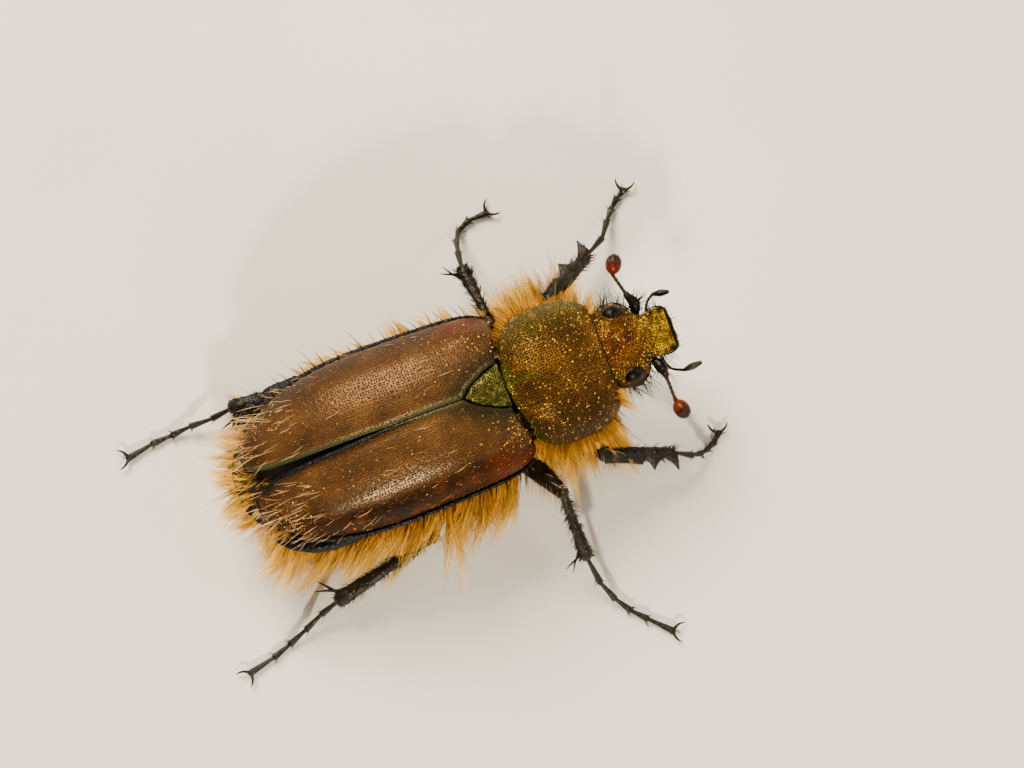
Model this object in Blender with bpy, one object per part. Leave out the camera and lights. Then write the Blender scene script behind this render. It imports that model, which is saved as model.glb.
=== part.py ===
"""A flower scarab, pygopleurus libanonensis, as a still model at life size.

The beetle stands on six feet with its head towards -Y, its own left side towards +X and +Z up. Every size below is
in millimetres, measured from the floor under the middle of the body. The last step scales the finished meshes to
metres, and an empty carries them so that the middle of the model's box lies over the origin.
"""

import math
import random

import bmesh
import bpy
from mathutils import Matrix, Vector

MM = 0.001
UP = Vector((0, 0, 1))
SIDES = {"left": 1, "right": -1}

# Clearances: body plates stand apart by GAP, pronotum and elytra by a little less, and small organs sit closer still.
GAP = 0.25
PLATE_GAP = 0.2
SOCKET_GAP = 0.15
SHELL = 0.5

# Edges shorter and triangles thinner than this, which Booleans leave behind, are cleaned away.
SHORTEST_EDGE = 0.02
THINNEST_TRIANGLE = 0.006

# Body: the elytra's margin is the level that the heights are taken from.
MARGIN_Z = 3.3
BELLY_Z = 1.5
BODY_SECTION_POWER = 2.3
THORAX_FRONT_Y = -1.3
THORAX_END_Y = 1.25
ABDOMEN_END_Y = 6.72

# Elytra, seen from above, are a shield that is widest behind its middle.
ELYTRA_BASE_Y = -1.75
ELYTRA_WIDEST_Y = 2.0
ELYTRA_END_Y = 6.5
ELYTRON_TIP_Y = 6.24
ELYTRA_HALF_WIDTH = 2.48
SHOULDER_REACH = 3.9
ELYTRA_RIDGE = ((-1.8, 4.85), (0.6, 5.3), (3.0, 5.12), (5.0, 4.45), (6.5, 3.5))
SUTURE_HALF_GAP = 0.13
SUTURE_OPENS_Y = 2.4
SUTURE_OPENING = 0.22

# Scutellum, the small triangle between the elytra's bases.
SCUTELLUM_TIP_Y = -0.3
SCUTELLUM_FRONT_Y = -1.3
SCUTELLUM_NOTCH = 0.62
SCUTELLUM_THICKNESS = 0.5

# Pronotum, a rounded cushion that is a third wider than it is long.
PRONOTUM_WIDEST_Y = -2.95
PRONOTUM_REAR = 1.4
PRONOTUM_FRONT = 1.87
PRONOTUM_FRONT_Y = -4.5
PRONOTUM_HALF_WIDTH = 2.07
PRONOTUM_RIDGE = ((-4.6, 4.25), (-3.6, 4.8), (-2.5, 4.98), (-1.55, 4.75))
PROSTERNUM_Z = 1.75

# Head: distance along Y, half width, lowest and highest point.
HEAD_SECTIONS = (
    (-4.16, 0.70, 2.80, 4.00),
    (-4.50, 1.00, 2.50, 4.24),
    (-4.90, 1.12, 2.42, 4.28),
    (-5.30, 1.06, 2.48, 4.16),
    (-5.58, 0.80, 2.58, 4.00),
    (-5.82, 0.66, 2.70, 3.84),
    (-6.16, 0.69, 2.86, 3.62),
    (-6.38, 0.69, 2.94, 3.50),
    (-6.46, 0.67, 2.98, 3.56),
    (-6.60, 0.58, 3.06, 3.52),
)
EYE_CENTRE = Vector((0.98, -4.98, 3.52))
EYE_RADII = Vector((0.36, 0.42, 0.44))

# Legs, from the root on the body to the knee, the ankle, the joints of the foot and the foot's end.
FOOT_Z = 0.18
LEGS = {
    ("front", "left"): (
        (0.60, -3.35, 1.95), (2.15, -3.62, 2.12), (3.07, -5.20, 1.10),
        ((3.40, -5.72, 0.66), (3.85, -6.03, 0.36), (4.17, -6.29, FOOT_Z), (4.40, -6.54, FOOT_Z)),
        (4.57, -6.84, FOOT_Z), 75,
    ),
    ("front", "right"): (
        (-0.60, -3.35, 1.95), (-2.28, -3.60, 2.12), (-3.30, -5.50, 1.25),
        ((-3.50, -5.94, 0.80), (-3.52, -6.22, 0.42), (-3.44, -6.46, FOOT_Z), (-3.34, -6.68, FOOT_Z)),
        (-3.10, -6.92, FOOT_Z), 75,
    ),
    ("mid", "left"): (
        (0.85, -0.75, 1.66), (2.05, -1.80, 2.25), (3.85, -1.56, 1.80),
        ((4.45, -1.62, 1.22), (4.85, -1.70, 0.66), (5.17, -1.88, FOOT_Z), (5.33, -2.25, FOOT_Z)),
        (5.35, -2.85, FOOT_Z), 60,
    ),
    ("mid", "right"): (
        (-0.85, -0.75, 1.66), (-3.32, -2.02, 2.5), (-5.18, -2.00, 1.10),
        ((-6.02, -2.12, 0.56), (-6.60, -2.36, 0.27), (-7.08, -2.67, FOOT_Z), (-7.48, -3.05, FOOT_Z)),
        (-8.09, -3.64, FOOT_Z), 45,
    ),
    ("hind", "left"): (
        (0.80, 0.55, 1.65), (2.20, 2.90, 1.75), (2.51, 6.12, 1.05),
        ((2.46, 6.82, 0.66), (2.50, 7.52, 0.36), (2.47, 8.14, FOOT_Z), (2.44, 8.76, FOOT_Z)),
        (2.28, 9.60, FOOT_Z), -50,
    ),
    ("hind", "right"): (
        (-0.80, 0.55, 1.62), (-3.18, 2.02, 1.95), (-3.84, 5.15, 1.05),
        ((-4.03, 5.81, 0.66), (-4.27, 6.40, 0.36), (-4.50, 7.01, FOOT_Z), (-4.69, 7.57, FOOT_Z)),
        (-4.89, 8.41, FOOT_Z), 35,
    ),
}
FEMUR_RADII = ((0.22, 0.22), (0.34, 0.27), (0.42, 0.30), (0.38, 0.28), (0.26, 0.25))
TIBIA_RADII = ((0.25, 0.25), (0.25, 0.25), (0.28, 0.25), (0.34, 0.27))
FRONT_TIBIA_RADII = ((0.25, 0.25), (0.31, 0.25), (0.36, 0.25), (0.36, 0.25))
TARSUS_WAIST = 0.18
TARSUS_FLARE = 0.25
CLAW_LENGTH = 0.52
SPUR_LENGTH = 0.55

# Antennae and palps, from their root in the head to their tip, for the left side and the right side.
ANTENNAE = {
    "left": ((0.50, -5.72, 3.40), (1.06, -5.79, 3.44), (1.36, -5.68, 3.52), (2.10, -5.60, 3.64), (2.24, -5.66, 3.66)),
    "right": ((-0.50, -5.74, 3.40), (-1.02, -5.86, 3.46), (-1.34, -5.93, 3.50), (-2.16, -5.98, 3.57), (-2.32, -6.02, 3.58)),
}
ANTENNA_RADII = (0.2, 0.23, 0.2, 0.17)
CLUB_RADII = (0.31, 0.27, 0.31)
PALPS = {
    "left": ((0.42, -5.98, 2.86), (0.92, -6.18, 2.72), (1.10, -6.42, 2.78), (1.02, -6.86, 2.92)),
    "right": ((-0.42, -5.98, 2.86), (-0.98, -6.16, 2.72), (-1.22, -6.50, 2.78), (-1.22, -7.02, 2.92)),
}
PALP_RADII = (0.17, 0.17, 0.19, 0.20)

# Coat: flat, tapered locks in rows along the body's flanks and round its end.
LOCK_WIDTH = 0.62
LOCK_THICKNESS = 0.46
LOCK_ROOT = 0.34
LOCK_CLEARANCE = 0.2
LOCK_SPACING = 0.45
FLANK_DEPTHS = (9, 29, 50)
FLANK_LOCK_LENGTH = {"left": 1.55, "right": 1.9}
LOCK_TAPER = ((1.0, 1.0), (1.0, 1.0), (0.86, 0.8), (0.5, 0.55))
LOWEST_LOCK_Z = 0.5
SEED = 11

COLOURS = {
    "bronze": ("#4A4320", 0.35, 0.6),
    "chestnut": ("#5A3420", 0.3, 0.2),
    "green bronze": ("#5C6A2C", 0.35, 0.6),
    "black": ("#1C1713", 0.3, 0.1),
    "eye black": ("#0B0908", 0.15, 0.0),
    "amber": ("#8A3A12", 0.3, 0.0),
    "fleece": ("#C98A2A", 0.8, 0.0),
}


def through(points, at):
    """The height at a place on the smooth curve through a few (place, height) points."""
    last = len(points) - 2
    i = next((k for k in range(last) if at < points[k + 1][0]), last)
    (x0, z0), (x1, z1) = points[i], points[i + 1]
    before = points[max(i - 1, 0)]
    after = points[min(i + 2, last + 1)]
    slope0 = (z1 - before[1]) / (x1 - before[0])
    slope1 = (after[1] - z0) / (after[0] - x0)
    run = x1 - x0
    t = min(max((at - x0) / run, 0), 1)
    return (
        (2 * t**3 - 3 * t**2 + 1) * z0
        + (t**3 - 2 * t**2 + t) * run * slope0
        + (3 * t**2 - 2 * t**3) * z1
        + (t**3 - t**2) * run * slope1
    )


def bulge(t, power):
    """Height of a superellipse of unit radius at distance t from its middle."""
    return max(1 - min(abs(t), 1) ** power, 0) ** (1 / power)


def slant(outline, at, step=0.05):
    """How much longer a step square to a sloping outline is when it is measured straight down."""
    slope = (outline(at + step) - outline(at - step)) / (2 * step)
    return math.sqrt(1 + min(abs(slope), 2.0) ** 2)


def elytra_half_width(y):
    if y >= ELYTRA_WIDEST_Y:
        return ELYTRA_HALF_WIDTH * bulge((y - ELYTRA_WIDEST_Y) / (ELYTRA_END_Y - ELYTRA_WIDEST_Y), 2.4)
    reach = (ELYTRA_WIDEST_Y - y) / SHOULDER_REACH
    return ELYTRA_HALF_WIDTH * bulge(reach, 7) * (1 - 0.05 * reach)


def elytra_top(y):
    return through(ELYTRA_RIDGE, y)


def elytra_margin(y):
    """Height of the elytra's lower edge, which sinks a little towards the tip."""
    return MARGIN_Z - 0.3 * max(y - 1.0, 0) / (ELYTRA_END_Y - 1.0)


def elytra_height(x, y):
    width = max(elytra_half_width(y), 0.05)
    return elytra_margin(y) + (elytra_top(y) - elytra_margin(y)) * bulge(x / width, 2.5)


def suture_x(y):
    """Half the space between the elytra: a notch for the scutellum, then nearly shut, then opening to the rear."""
    space = SUTURE_HALF_GAP
    if y < SCUTELLUM_TIP_Y:
        share = (SCUTELLUM_TIP_Y - y) / (SCUTELLUM_TIP_Y - SCUTELLUM_FRONT_Y)
        space += (SCUTELLUM_NOTCH - SUTURE_HALF_GAP) * min(share, 1.2) ** 0.8
    if y > SUTURE_OPENS_Y:
        share = (y - SUTURE_OPENS_Y) / (ELYTRON_TIP_Y - SUTURE_OPENS_Y)
        space += SUTURE_OPENING * share + 0.45 * share**10
    return space


def pronotum_half_width(y):
    reach = y - PRONOTUM_WIDEST_Y
    if reach > 0:
        return PRONOTUM_HALF_WIDTH * bulge(reach / PRONOTUM_REAR, 2.6)
    return PRONOTUM_HALF_WIDTH * bulge(reach / PRONOTUM_FRONT, 2.3)


def pronotum_rear_y(x):
    return PRONOTUM_WIDEST_Y + PRONOTUM_REAR * bulge(x / PRONOTUM_HALF_WIDTH, 2.6)


def arc(start_deg, end_deg, count):
    """Evenly spaced angles, both ends included."""
    return [math.radians(start_deg + (end_deg - start_deg) * k / (count - 1)) for k in range(count)]


def on_superellipse(angle, power):
    """(across, up) on a superellipse of unit radius."""
    c, s = math.cos(angle), math.sin(angle)
    return (
        math.copysign(abs(c) ** (2 / power), c),
        math.copysign(abs(s) ** (2 / power), s),
    )


def body_widths(y):
    """Half widths of thorax and abdomen at y: outside below the elytra's edge, and inside the elytra."""
    wall = SHELL + GAP
    outer = elytra_half_width(min(y, 5.9)) - 0.12
    if y < THORAX_FRONT_Y + 0.9:
        outer -= 0.55 * ((THORAX_FRONT_Y + 0.9 - y) / 0.9) ** 2
    if y > 5.9:
        outer *= bulge((y - 5.9) / (ABDOMEN_END_Y - 5.9 + 0.06), 2)
    inner = elytra_half_width(y) - wall * slant(elytra_half_width, y)
    return outer, min(max(inner, outer * 0.45), outer - 0.12)


def body_belly(y):
    """Height of the underside, which rises at the rear."""
    return BELLY_Z + 0.1 * max(-y, 0) + 0.95 * max((y - 2.5) / (ABDOMEN_END_Y - 2.5), 0) ** 2


def body_ledge(y):
    """Height of the body's widest level, just under the elytra's edge."""
    return elytra_margin(y) - GAP - 0.05 * max(y - 4, 0)


def body_ring(y):
    """One section of thorax or abdomen: round below, a ledge under the elytra's edge, a lower dome inside them."""
    outer, inner = body_widths(y)
    ledge, belly = body_ledge(y), body_belly(y)
    top = max(elytra_top(y) - (SHELL + GAP) * slant(elytra_top, y), ledge + 0.12)
    ring = []
    for angle in arc(0, -180, 13):
        across, down = on_superellipse(angle, BODY_SECTION_POWER)
        ring.append(Vector((outer * across, y, ledge + (ledge - belly) * down)))
    for angle in arc(180, 0, 9):
        across, up = on_superellipse(angle, 2.4)
        ring.append(Vector((inner * across, y, ledge + 0.02 + (top - ledge) * up)))
    return ring


def flank(y, depth_deg, side):
    """A point of the body's lower half and its outward direction, depth_deg below the level of the ledge."""
    outer, _ = body_widths(y)
    ledge, belly = body_ledge(y), body_belly(y)
    across, down = on_superellipse(math.radians(-depth_deg), BODY_SECTION_POWER)
    point = Vector((side * outer * across, y, ledge + (ledge - belly) * down))
    away = Vector((side * math.cos(math.radians(depth_deg)), 0, -math.sin(math.radians(depth_deg))))
    return point, away


def pronotum_ring(y):
    """One section of the prothorax: the pronotum's dome over a keeled underside."""
    width = max(pronotum_half_width(y), 0.5)
    top = through(PRONOTUM_RIDGE, y)
    floor = PROSTERNUM_Z + 0.25 * abs(y + 3.0)
    ring = []
    for angle in arc(0, 180, 15):
        across, up = on_superellipse(angle, 2.3)
        ring.append(Vector((width * across, y, MARGIN_Z + (top - MARGIN_Z) * up)))
    for angle in arc(180, 360, 11)[1:-1]:
        across, up = on_superellipse(angle, 1.8)
        ring.append(Vector((width * 0.96 * across, y, MARGIN_Z - 0.06 + (MARGIN_Z - floor) * up)))
    return ring


def new_object(name, points, faces):
    mesh = bpy.data.meshes.new(name)
    mesh.from_pydata([tuple(p) for p in points], [], faces)
    obj = bpy.data.objects.new(name, mesh)
    bpy.context.scene.collection.objects.link(obj)
    return obj


def face_outwards(obj):
    work = bmesh.new()
    work.from_mesh(obj.data)
    bmesh.ops.recalc_face_normals(work, faces=work.faces)
    work.to_mesh(obj.data)
    work.free()


def loft(name, rings, tip=None):
    """A closed skin over rings of equally many points. The last ring closes on a tip point, or flat."""
    count = len(rings[0])
    points = [p for ring in rings for p in ring]
    faces = []
    for r in range(len(rings) - 1):
        for k in range(count):
            a, b = r * count + k, r * count + (k + 1) % count
            faces.append((a, b, b + count, a + count))
    faces.append(tuple(reversed(range(count))))
    last = (len(rings) - 1) * count
    if tip is None:
        faces.append(tuple(range(last, last + count)))
    else:
        points.append(Vector(tip))
        faces += [(last + k, last + (k + 1) % count, len(points) - 1) for k in range(count)]
    obj = new_object(name, points, faces)
    face_outwards(obj)
    return obj


def sweep(name, path, radii, sides=8, up=UP, tip=False):
    """A closed tube along a path. Each radius is a number, or (across, up). With tip, it ends in a point."""
    path = [Vector(p) for p in path]
    rings = []
    last = len(path) - 1
    for i, centre in enumerate(path[: last if tip else last + 1]):
        ahead = (path[min(i + 1, last)] - centre).normalized()
        behind = (centre - path[max(i - 1, 0)]).normalized()
        along = (ahead + behind).normalized()
        across = along.cross(up).normalized()
        over = across.cross(along)
        wide, high = radii[i] if isinstance(radii[i], tuple) else (radii[i], radii[i])
        turn = math.pi / sides
        rings.append(
            [
                centre
                + across * wide * math.cos(turn + 2 * math.pi * k / sides)
                + over * high * math.sin(turn + 2 * math.pi * k / sides)
                for k in range(sides)
            ]
        )
    return loft(name, rings, path[-1] if tip else None)


def ball(name, centre, radii, turn_deg=0, segments=14, rings=9):
    """An ellipsoid, turned about the upright axis."""
    mesh = bpy.data.meshes.new(name)
    work = bmesh.new()
    bmesh.ops.create_uvsphere(work, u_segments=segments, v_segments=rings, radius=1)
    work.transform(
        Matrix.Translation(centre)
        @ Matrix.Rotation(math.radians(turn_deg), 4, "Z")
        @ Matrix.Diagonal((*radii, 1))
    )
    work.to_mesh(mesh)
    work.free()
    obj = bpy.data.objects.new(name, mesh)
    bpy.context.scene.collection.objects.link(obj)
    return obj


def apply_modifiers(obj):
    bpy.context.view_layer.update()
    graph = bpy.context.evaluated_depsgraph_get()
    mesh = bpy.data.meshes.new_from_object(obj.evaluated_get(graph))
    obj.modifiers.clear()
    obj.data = mesh


def combine(obj, others, operation, solver="EXACT"):
    """One Boolean of obj with all the others, which are then removed."""
    group = bpy.data.collections.new(obj.name + "_group")
    bpy.context.scene.collection.children.link(group)
    for other in others:
        bpy.context.scene.collection.objects.unlink(other)
        group.objects.link(other)
    change = obj.modifiers.new("combine", "BOOLEAN")
    change.operation = operation
    change.operand_type = "COLLECTION"
    change.collection = group
    change.solver = solver
    apply_modifiers(obj)
    for other in others:
        bpy.data.objects.remove(other)
    bpy.data.collections.remove(group)
    keep_largest(obj)


def keep_largest(obj):
    """Drops every closed surface of the mesh but the one that holds the most."""
    work = bmesh.new()
    work.from_mesh(obj.data)
    bmesh.ops.triangulate(work, faces=work.faces)
    left = set(work.faces)
    shells = []
    while left:
        shell, edge = set(), [left.pop()]
        while edge:
            face = edge.pop()
            shell.add(face)
            for loop in face.loops:
                for other in loop.edge.link_faces:
                    if other in left:
                        left.discard(other)
                        edge.append(other)
        shells.append(shell)

    def volume(shell):
        corners = ([v.co for v in face.verts] for face in shell)
        return sum(a.dot(b.cross(c)) for a, b, c in corners)

    shells.sort(key=volume)
    loose = [face for shell in shells[:-1] for face in shell]
    bmesh.ops.delete(work, geom=loose, context="FACES")
    work.to_mesh(obj.data)
    work.free()


def can_collapse(edge):
    """Whether the skin stays closed and single when this edge shrinks to a point."""
    near = [{link.other_vert(vert) for link in vert.link_edges} for vert in edge.verts]
    return len(near[0] & near[1]) == 2


def can_flip(edge):
    """Whether the two triangles of an edge can share the other diagonal instead."""
    if len(edge.link_faces) != 2:
        return False
    far = [vert for face in edge.link_faces for vert in face.verts if vert not in edge.verts]
    return far[0] is not far[1] and not any(link.other_vert(far[0]) is far[1] for link in far[0].link_edges)


def clean_slivers(obj):
    """Removes the short edges and the thin triangles that Booleans leave behind."""
    work = bmesh.new()
    work.from_mesh(obj.data)
    bmesh.ops.triangulate(work, faces=work.faces)
    for _ in range(4):
        for edge in [e for e in work.edges if e.calc_length() < SHORTEST_EDGE]:
            if edge.is_valid and edge.calc_length() < SHORTEST_EDGE and can_collapse(edge):
                middle = (edge.verts[0].co + edge.verts[1].co) / 2
                bmesh.ops.pointmerge(work, verts=list(edge.verts), merge_co=middle)
        for face in list(work.faces):
            if not face.is_valid:
                continue
            longest = max(face.edges, key=lambda e: e.calc_length())
            thin = 2 * face.calc_area() < THINNEST_TRIANGLE * longest.calc_length()
            if thin and can_flip(longest):
                bmesh.utils.edge_rotate(longest, False)
    work.to_mesh(obj.data)
    work.free()


def smooth(obj, colour):
    """Shades the solid smooth but for its creases, and gives it its material."""
    clean_slivers(obj)
    keep_largest(obj)
    obj.data.shade_smooth()
    obj.data.set_sharp_from_angle(angle=math.radians(50))
    obj.data.materials.clear()
    obj.data.materials.append(material(colour))


def material(name):
    found = bpy.data.materials.get(name)
    if found:
        return found
    code, roughness, metallic = COLOURS[name]
    made = bpy.data.materials.new(name)
    made.use_nodes = True
    shader = made.node_tree.nodes["Principled BSDF"]
    channels = [int(code[k : k + 2], 16) / 255 for k in (1, 3, 5)]
    linear = [c / 12.92 if c <= 0.04045 else ((c + 0.055) / 1.055) ** 2.4 for c in channels]
    shader.inputs["Base Color"].default_value = (*linear, 1)
    shader.inputs["Roughness"].default_value = roughness
    shader.inputs["Metallic"].default_value = metallic
    return made


def make_elytron(side):
    """One wing case: half the shield's outer surface, thickened inwards. Its base follows the pronotum's rear edge."""
    sign = SIDES[side]
    stations = [ELYTRA_BASE_Y + 0.35 * k for k in range(12)]
    stations += [ELYTRA_WIDEST_Y + (ELYTRON_TIP_Y - ELYTRA_WIDEST_Y) * math.sin(a) for a in arc(4, 90, 11)]
    across_angles = arc(0, 90, 10)
    points, faces = [], []
    for y in stations:
        inner, width = suture_x(y), elytra_half_width(y)
        back = max((ELYTRA_BASE_Y + 1.6 - y) / 1.6, 0) ** 2
        for angle in across_angles:
            x = inner + (width - inner) * math.sin(angle) ** 0.85
            base = max(pronotum_rear_y(x) + PLATE_GAP, ELYTRA_BASE_Y)
            points.append((sign * x, y + (base - ELYTRA_BASE_Y) * back, elytra_height(x, y)))
    columns = len(across_angles)
    for r in range(len(stations) - 1):
        for k in range(columns - 1):
            a = r * columns + k
            faces.append((a, a + 1, a + 1 + columns, a + columns))
    obj = new_object("elytron_" + side, points, faces)
    if obj.data.polygons[0].normal.z < 0:
        obj.data.flip_normals()
    wall = obj.modifiers.new("wall", "SOLIDIFY")
    wall.thickness = SHELL
    wall.offset = -1
    wall.use_even_offset = True
    apply_modifiers(obj)
    smooth(obj, "chestnut")
    return obj


def make_scutellum():
    """A small rounded triangle, flush with the elytra."""
    rings = []
    for y in (SCUTELLUM_FRONT_Y, -1.05, -0.8, -0.62):
        width = suture_x(y) - GAP * 0.7
        top = elytra_top(y) - 0.05
        ring = [
            Vector((width * c, y, top - SCUTELLUM_THICKNESS / 2 + SCUTELLUM_THICKNESS / 2 * s))
            for c, s in (on_superellipse(a, 4) for a in arc(0, 330, 12))
        ]
        rings.append(ring)
    obj = loft("scutellum", rings)
    smooth(obj, "green bronze")
    return obj


def make_prothorax():
    stations = [-1.57, -1.7, -1.95, -2.3, -2.7, -3.1, -3.5, -3.9, -4.2, -4.4, PRONOTUM_FRONT_Y]
    return loft("prothorax", [pronotum_ring(y) for y in stations])


def make_body_part(name, stations):
    return loft(name, [body_ring(y) for y in stations])


def head_ring(y, half_width, low, high):
    middle, half_height = (low + high) / 2, (high - low) / 2
    power = 2.2 if y > -5.6 else 3.2
    return [
        Vector((half_width * c, y, middle + half_height * s))
        for c, s in (on_superellipse(a, power) for a in arc(0, 342, 20))
    ]


def make_head():
    """Head with a shovel-shaped clypeus, cheeks before the eyes, small jaws and a socket for each eye."""
    head = loft("head", [head_ring(*section) for section in HEAD_SECTIONS])
    extras = []
    for side, sign in SIDES.items():
        cheek_path = [(sign * 0.7, -5.32, 3.5), (sign * 1.08, -5.46, 3.5), (sign * 1.24, -5.34, 3.46)]
        extras.append(sweep("cheek", cheek_path, [(0.24, 0.25), (0.2, 0.25), (0.1, 0.2)], sides=6))
        jaw_path = [(sign * 0.34, -6.0, 2.98), (sign * 0.4, -6.36, 2.86), (sign * 0.26, -6.56, 2.84), (sign * 0.08, -6.62, 2.86)]
        extras.append(sweep("jaw", jaw_path, [0.22, 0.2, 0.14, 0], sides=6, tip=True))
    extras.append(ball("labrum", (0, -6.42, 2.95), (0.34, 0.26, 0.2), segments=10, rings=6))
    combine(head, extras, "UNION")
    sockets = []
    for side, sign in SIDES.items():
        centre = Vector((sign * EYE_CENTRE.x, EYE_CENTRE.y, EYE_CENTRE.z))
        sockets.append(ball("eye_socket", centre, EYE_RADII + Vector((SOCKET_GAP,) * 3)))
    combine(head, sockets, "DIFFERENCE")
    return head


def make_eye(side):
    sign = SIDES[side]
    obj = ball("eye_" + side, (sign * EYE_CENTRE.x, EYE_CENTRE.y, EYE_CENTRE.z), EYE_RADII)
    smooth(obj, "eye black")
    return obj


def grown(path, radii, grow):
    """A tube's path and radii, or the larger ones of a cutter that leaves it its clearance on every side."""
    path = [Vector(p) for p in path]
    if grow:
        path[0] = path[0] - (path[1] - path[0]).normalized() * grow
    sizes = [(r[0] + grow, r[1] + grow) if isinstance(r, tuple) else r + grow for r in radii]
    return path, sizes


def antenna_tube(side, grow=0.0):
    path, radii = grown(ANTENNAE[side][:4], ANTENNA_RADII, grow)
    return sweep("antenna_" + side, path, radii, sides=8)


def make_antenna(side):
    """Scape, thin stalk and a round club whose leaves show as two grooves."""
    stalk = antenna_tube(side)
    club_centre = Vector(ANTENNAE[side][4])
    club = ball("club", club_centre, CLUB_RADII, segments=12, rings=9)
    combine(stalk, [club], "UNION")
    smooth(stalk, "amber")
    return stalk


def palp_tube(side, grow=0.0):
    path, radii = grown(PALPS[side], PALP_RADII, grow)
    return sweep("palp_" + side, path, radii, sides=7)


def make_palp(side):
    obj = palp_tube(side)
    smooth(obj, "black")
    return obj


def between(start, end, shares):
    return [Vector(start).lerp(Vector(end), share) for share in shares]


def femur(leg, grow=0.0):
    path = between(LEGS[leg][0], LEGS[leg][1], (0, 0.22, 0.5, 0.78, 1.0))
    return sweep("femur", *grown(path, FEMUR_RADII, grow), sides=8)


def tibia(leg, grow=0.0):
    knee, ankle = Vector(LEGS[leg][1]), Vector(LEGS[leg][2])
    start = knee - (ankle - knee).normalized() * 0.12
    radii = FRONT_TIBIA_RADII if leg[0] == "front" else TIBIA_RADII
    path = between(start, ankle, (0, 0.3, 0.7, 1.0))
    return sweep("tibia", *grown(path, radii, grow), sides=8)


def tarsus(leg):
    """Five joints, each narrow at its root and flared at its end. The first is rooted in the tibia's end."""
    knee, ankle, joints, end = (Vector(LEGS[leg][1]), Vector(LEGS[leg][2]), LEGS[leg][3], LEGS[leg][4])
    path, radii = [ankle - (ankle - knee).normalized() * 0.2], [TARSUS_WAIST]
    stops = [Vector(p) for p in (ankle, *joints, end)]
    for start, stop in zip(stops, stops[1:]):
        path += between(start, stop, (0.12, 0.78))
        radii += [TARSUS_WAIST, TARSUS_FLARE]
    path.append(stops[-1])
    radii.append(TARSUS_WAIST)
    return sweep("tarsus", path, radii, sides=8)


def claws(leg):
    """Two curved claws that spread from the end of the foot and rest on the floor."""
    end, last_joint = Vector(LEGS[leg][4]), Vector(LEGS[leg][3][-1])
    heading = (end - last_joint).normalized()
    made = []
    for spread in (-1, 1):
        turn = Matrix.Rotation(math.radians(LEGS[leg][5] * 0.4 + spread * 32), 3, "Z")
        reach = turn @ heading
        root = end - heading * 0.12
        path = [
            root,
            root + reach * CLAW_LENGTH * 0.5 + UP * 0.1,
            root + reach * CLAW_LENGTH * 0.9 + UP * 0.02,
            root + reach * CLAW_LENGTH * 1.1 - UP * 0.12,
        ]
        made.append(sweep("claw", path, [0.13, 0.12, 0.08, 0], sides=6, tip=True))
    return made


def spurs(leg):
    """The tibia's two end spurs, on the side that faces the floor."""
    knee, ankle, toe = (Vector(LEGS[leg][k]) for k in (1, 2, 4))
    along = (ankle - knee).normalized()
    inward = UP.cross(along).normalized()
    inward *= -1 if (toe - ankle).dot(inward) > 0 else 1
    made = []
    for lean in (0.45, 0.85):
        root = ankle - along * 0.16 + inward * 0.12
        tip = root + (along * (1.1 - lean) + inward * lean - UP * 0.15).normalized() * SPUR_LENGTH
        made.append(sweep("spur", between(root, tip, (0, 0.6, 1)), [0.12, 0.09, 0], sides=5, tip=True))
    return made


def teeth(leg):
    """The three outer teeth of a digging front tibia."""
    knee, ankle = Vector(LEGS[leg][1]), Vector(LEGS[leg][2])
    along = (ankle - knee).normalized()
    outward = along.cross(UP).normalized() * -SIDES[leg[1]]
    made = []
    for share, length in ((0.46, 0.56), (0.74, 0.72), (1.0, 0.84)):
        root = knee.lerp(ankle, share)
        tip = root + outward * length + along * 0.2
        path = [root, root + outward * length * 0.55 + along * 0.02, tip]
        made.append(sweep("tooth", path, [(0.26, 0.22), (0.17, 0.17), 0], sides=6, tip=True))
    return made


def make_leg(leg):
    """Femur, tibia and foot in one piece, with its underside cut flat where it touches the floor."""
    extras = [tibia(leg), tarsus(leg), *claws(leg)]
    extras += teeth(leg) if leg[0] == "front" else spurs(leg)
    obj = femur(leg)
    obj.name = "leg_" + "_".join(leg)
    combine(obj, extras, "UNION")
    below = new_object("below_floor", [(x, y, z) for x in (-20, 20) for y in (-20, 20) for z in (-5, 0)], BOX_FACES)
    face_outwards(below)
    combine(obj, [below], "DIFFERENCE")
    smooth(obj, "black")
    return obj


BOX_FACES = [(0, 1, 3, 2), (4, 6, 7, 5), (0, 4, 5, 1), (2, 3, 7, 6), (0, 2, 6, 4), (1, 5, 7, 3)]


def leg_segments():
    """Every stretch of leg with its radius, for the locks to keep clear of."""
    found = []
    for root, knee, ankle, joints, end, _ in LEGS.values():
        found.append((Vector(root), Vector(knee), 0.37))
        found.append((Vector(knee), Vector(ankle), 0.32))
        stops = [Vector(p) for p in (ankle, *joints, end)]
        found += [(a, b, TARSUS_FLARE) for a, b in zip(stops, stops[1:])]
    return found


def distance_to_segment(point, start, end):
    span = end - start
    share = min(max((point - start).dot(span) / span.length_squared, 0), 1)
    return (point - (start + span * share)).length


def lock_path(root, away, lie, length):
    """Five points of a lock that leaves the skin along away and bends over to lie."""
    path = [root - away * LOCK_ROOT, root + away * length * 0.08]
    heading = away
    for bend, step in ((0.5, 0.32), (0.45, 0.33), (0.4, 0.3)):
        heading = (heading * bend + lie * (1 - bend)).normalized()
        path.append(path[-1] + heading * length * step)
    return path


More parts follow.
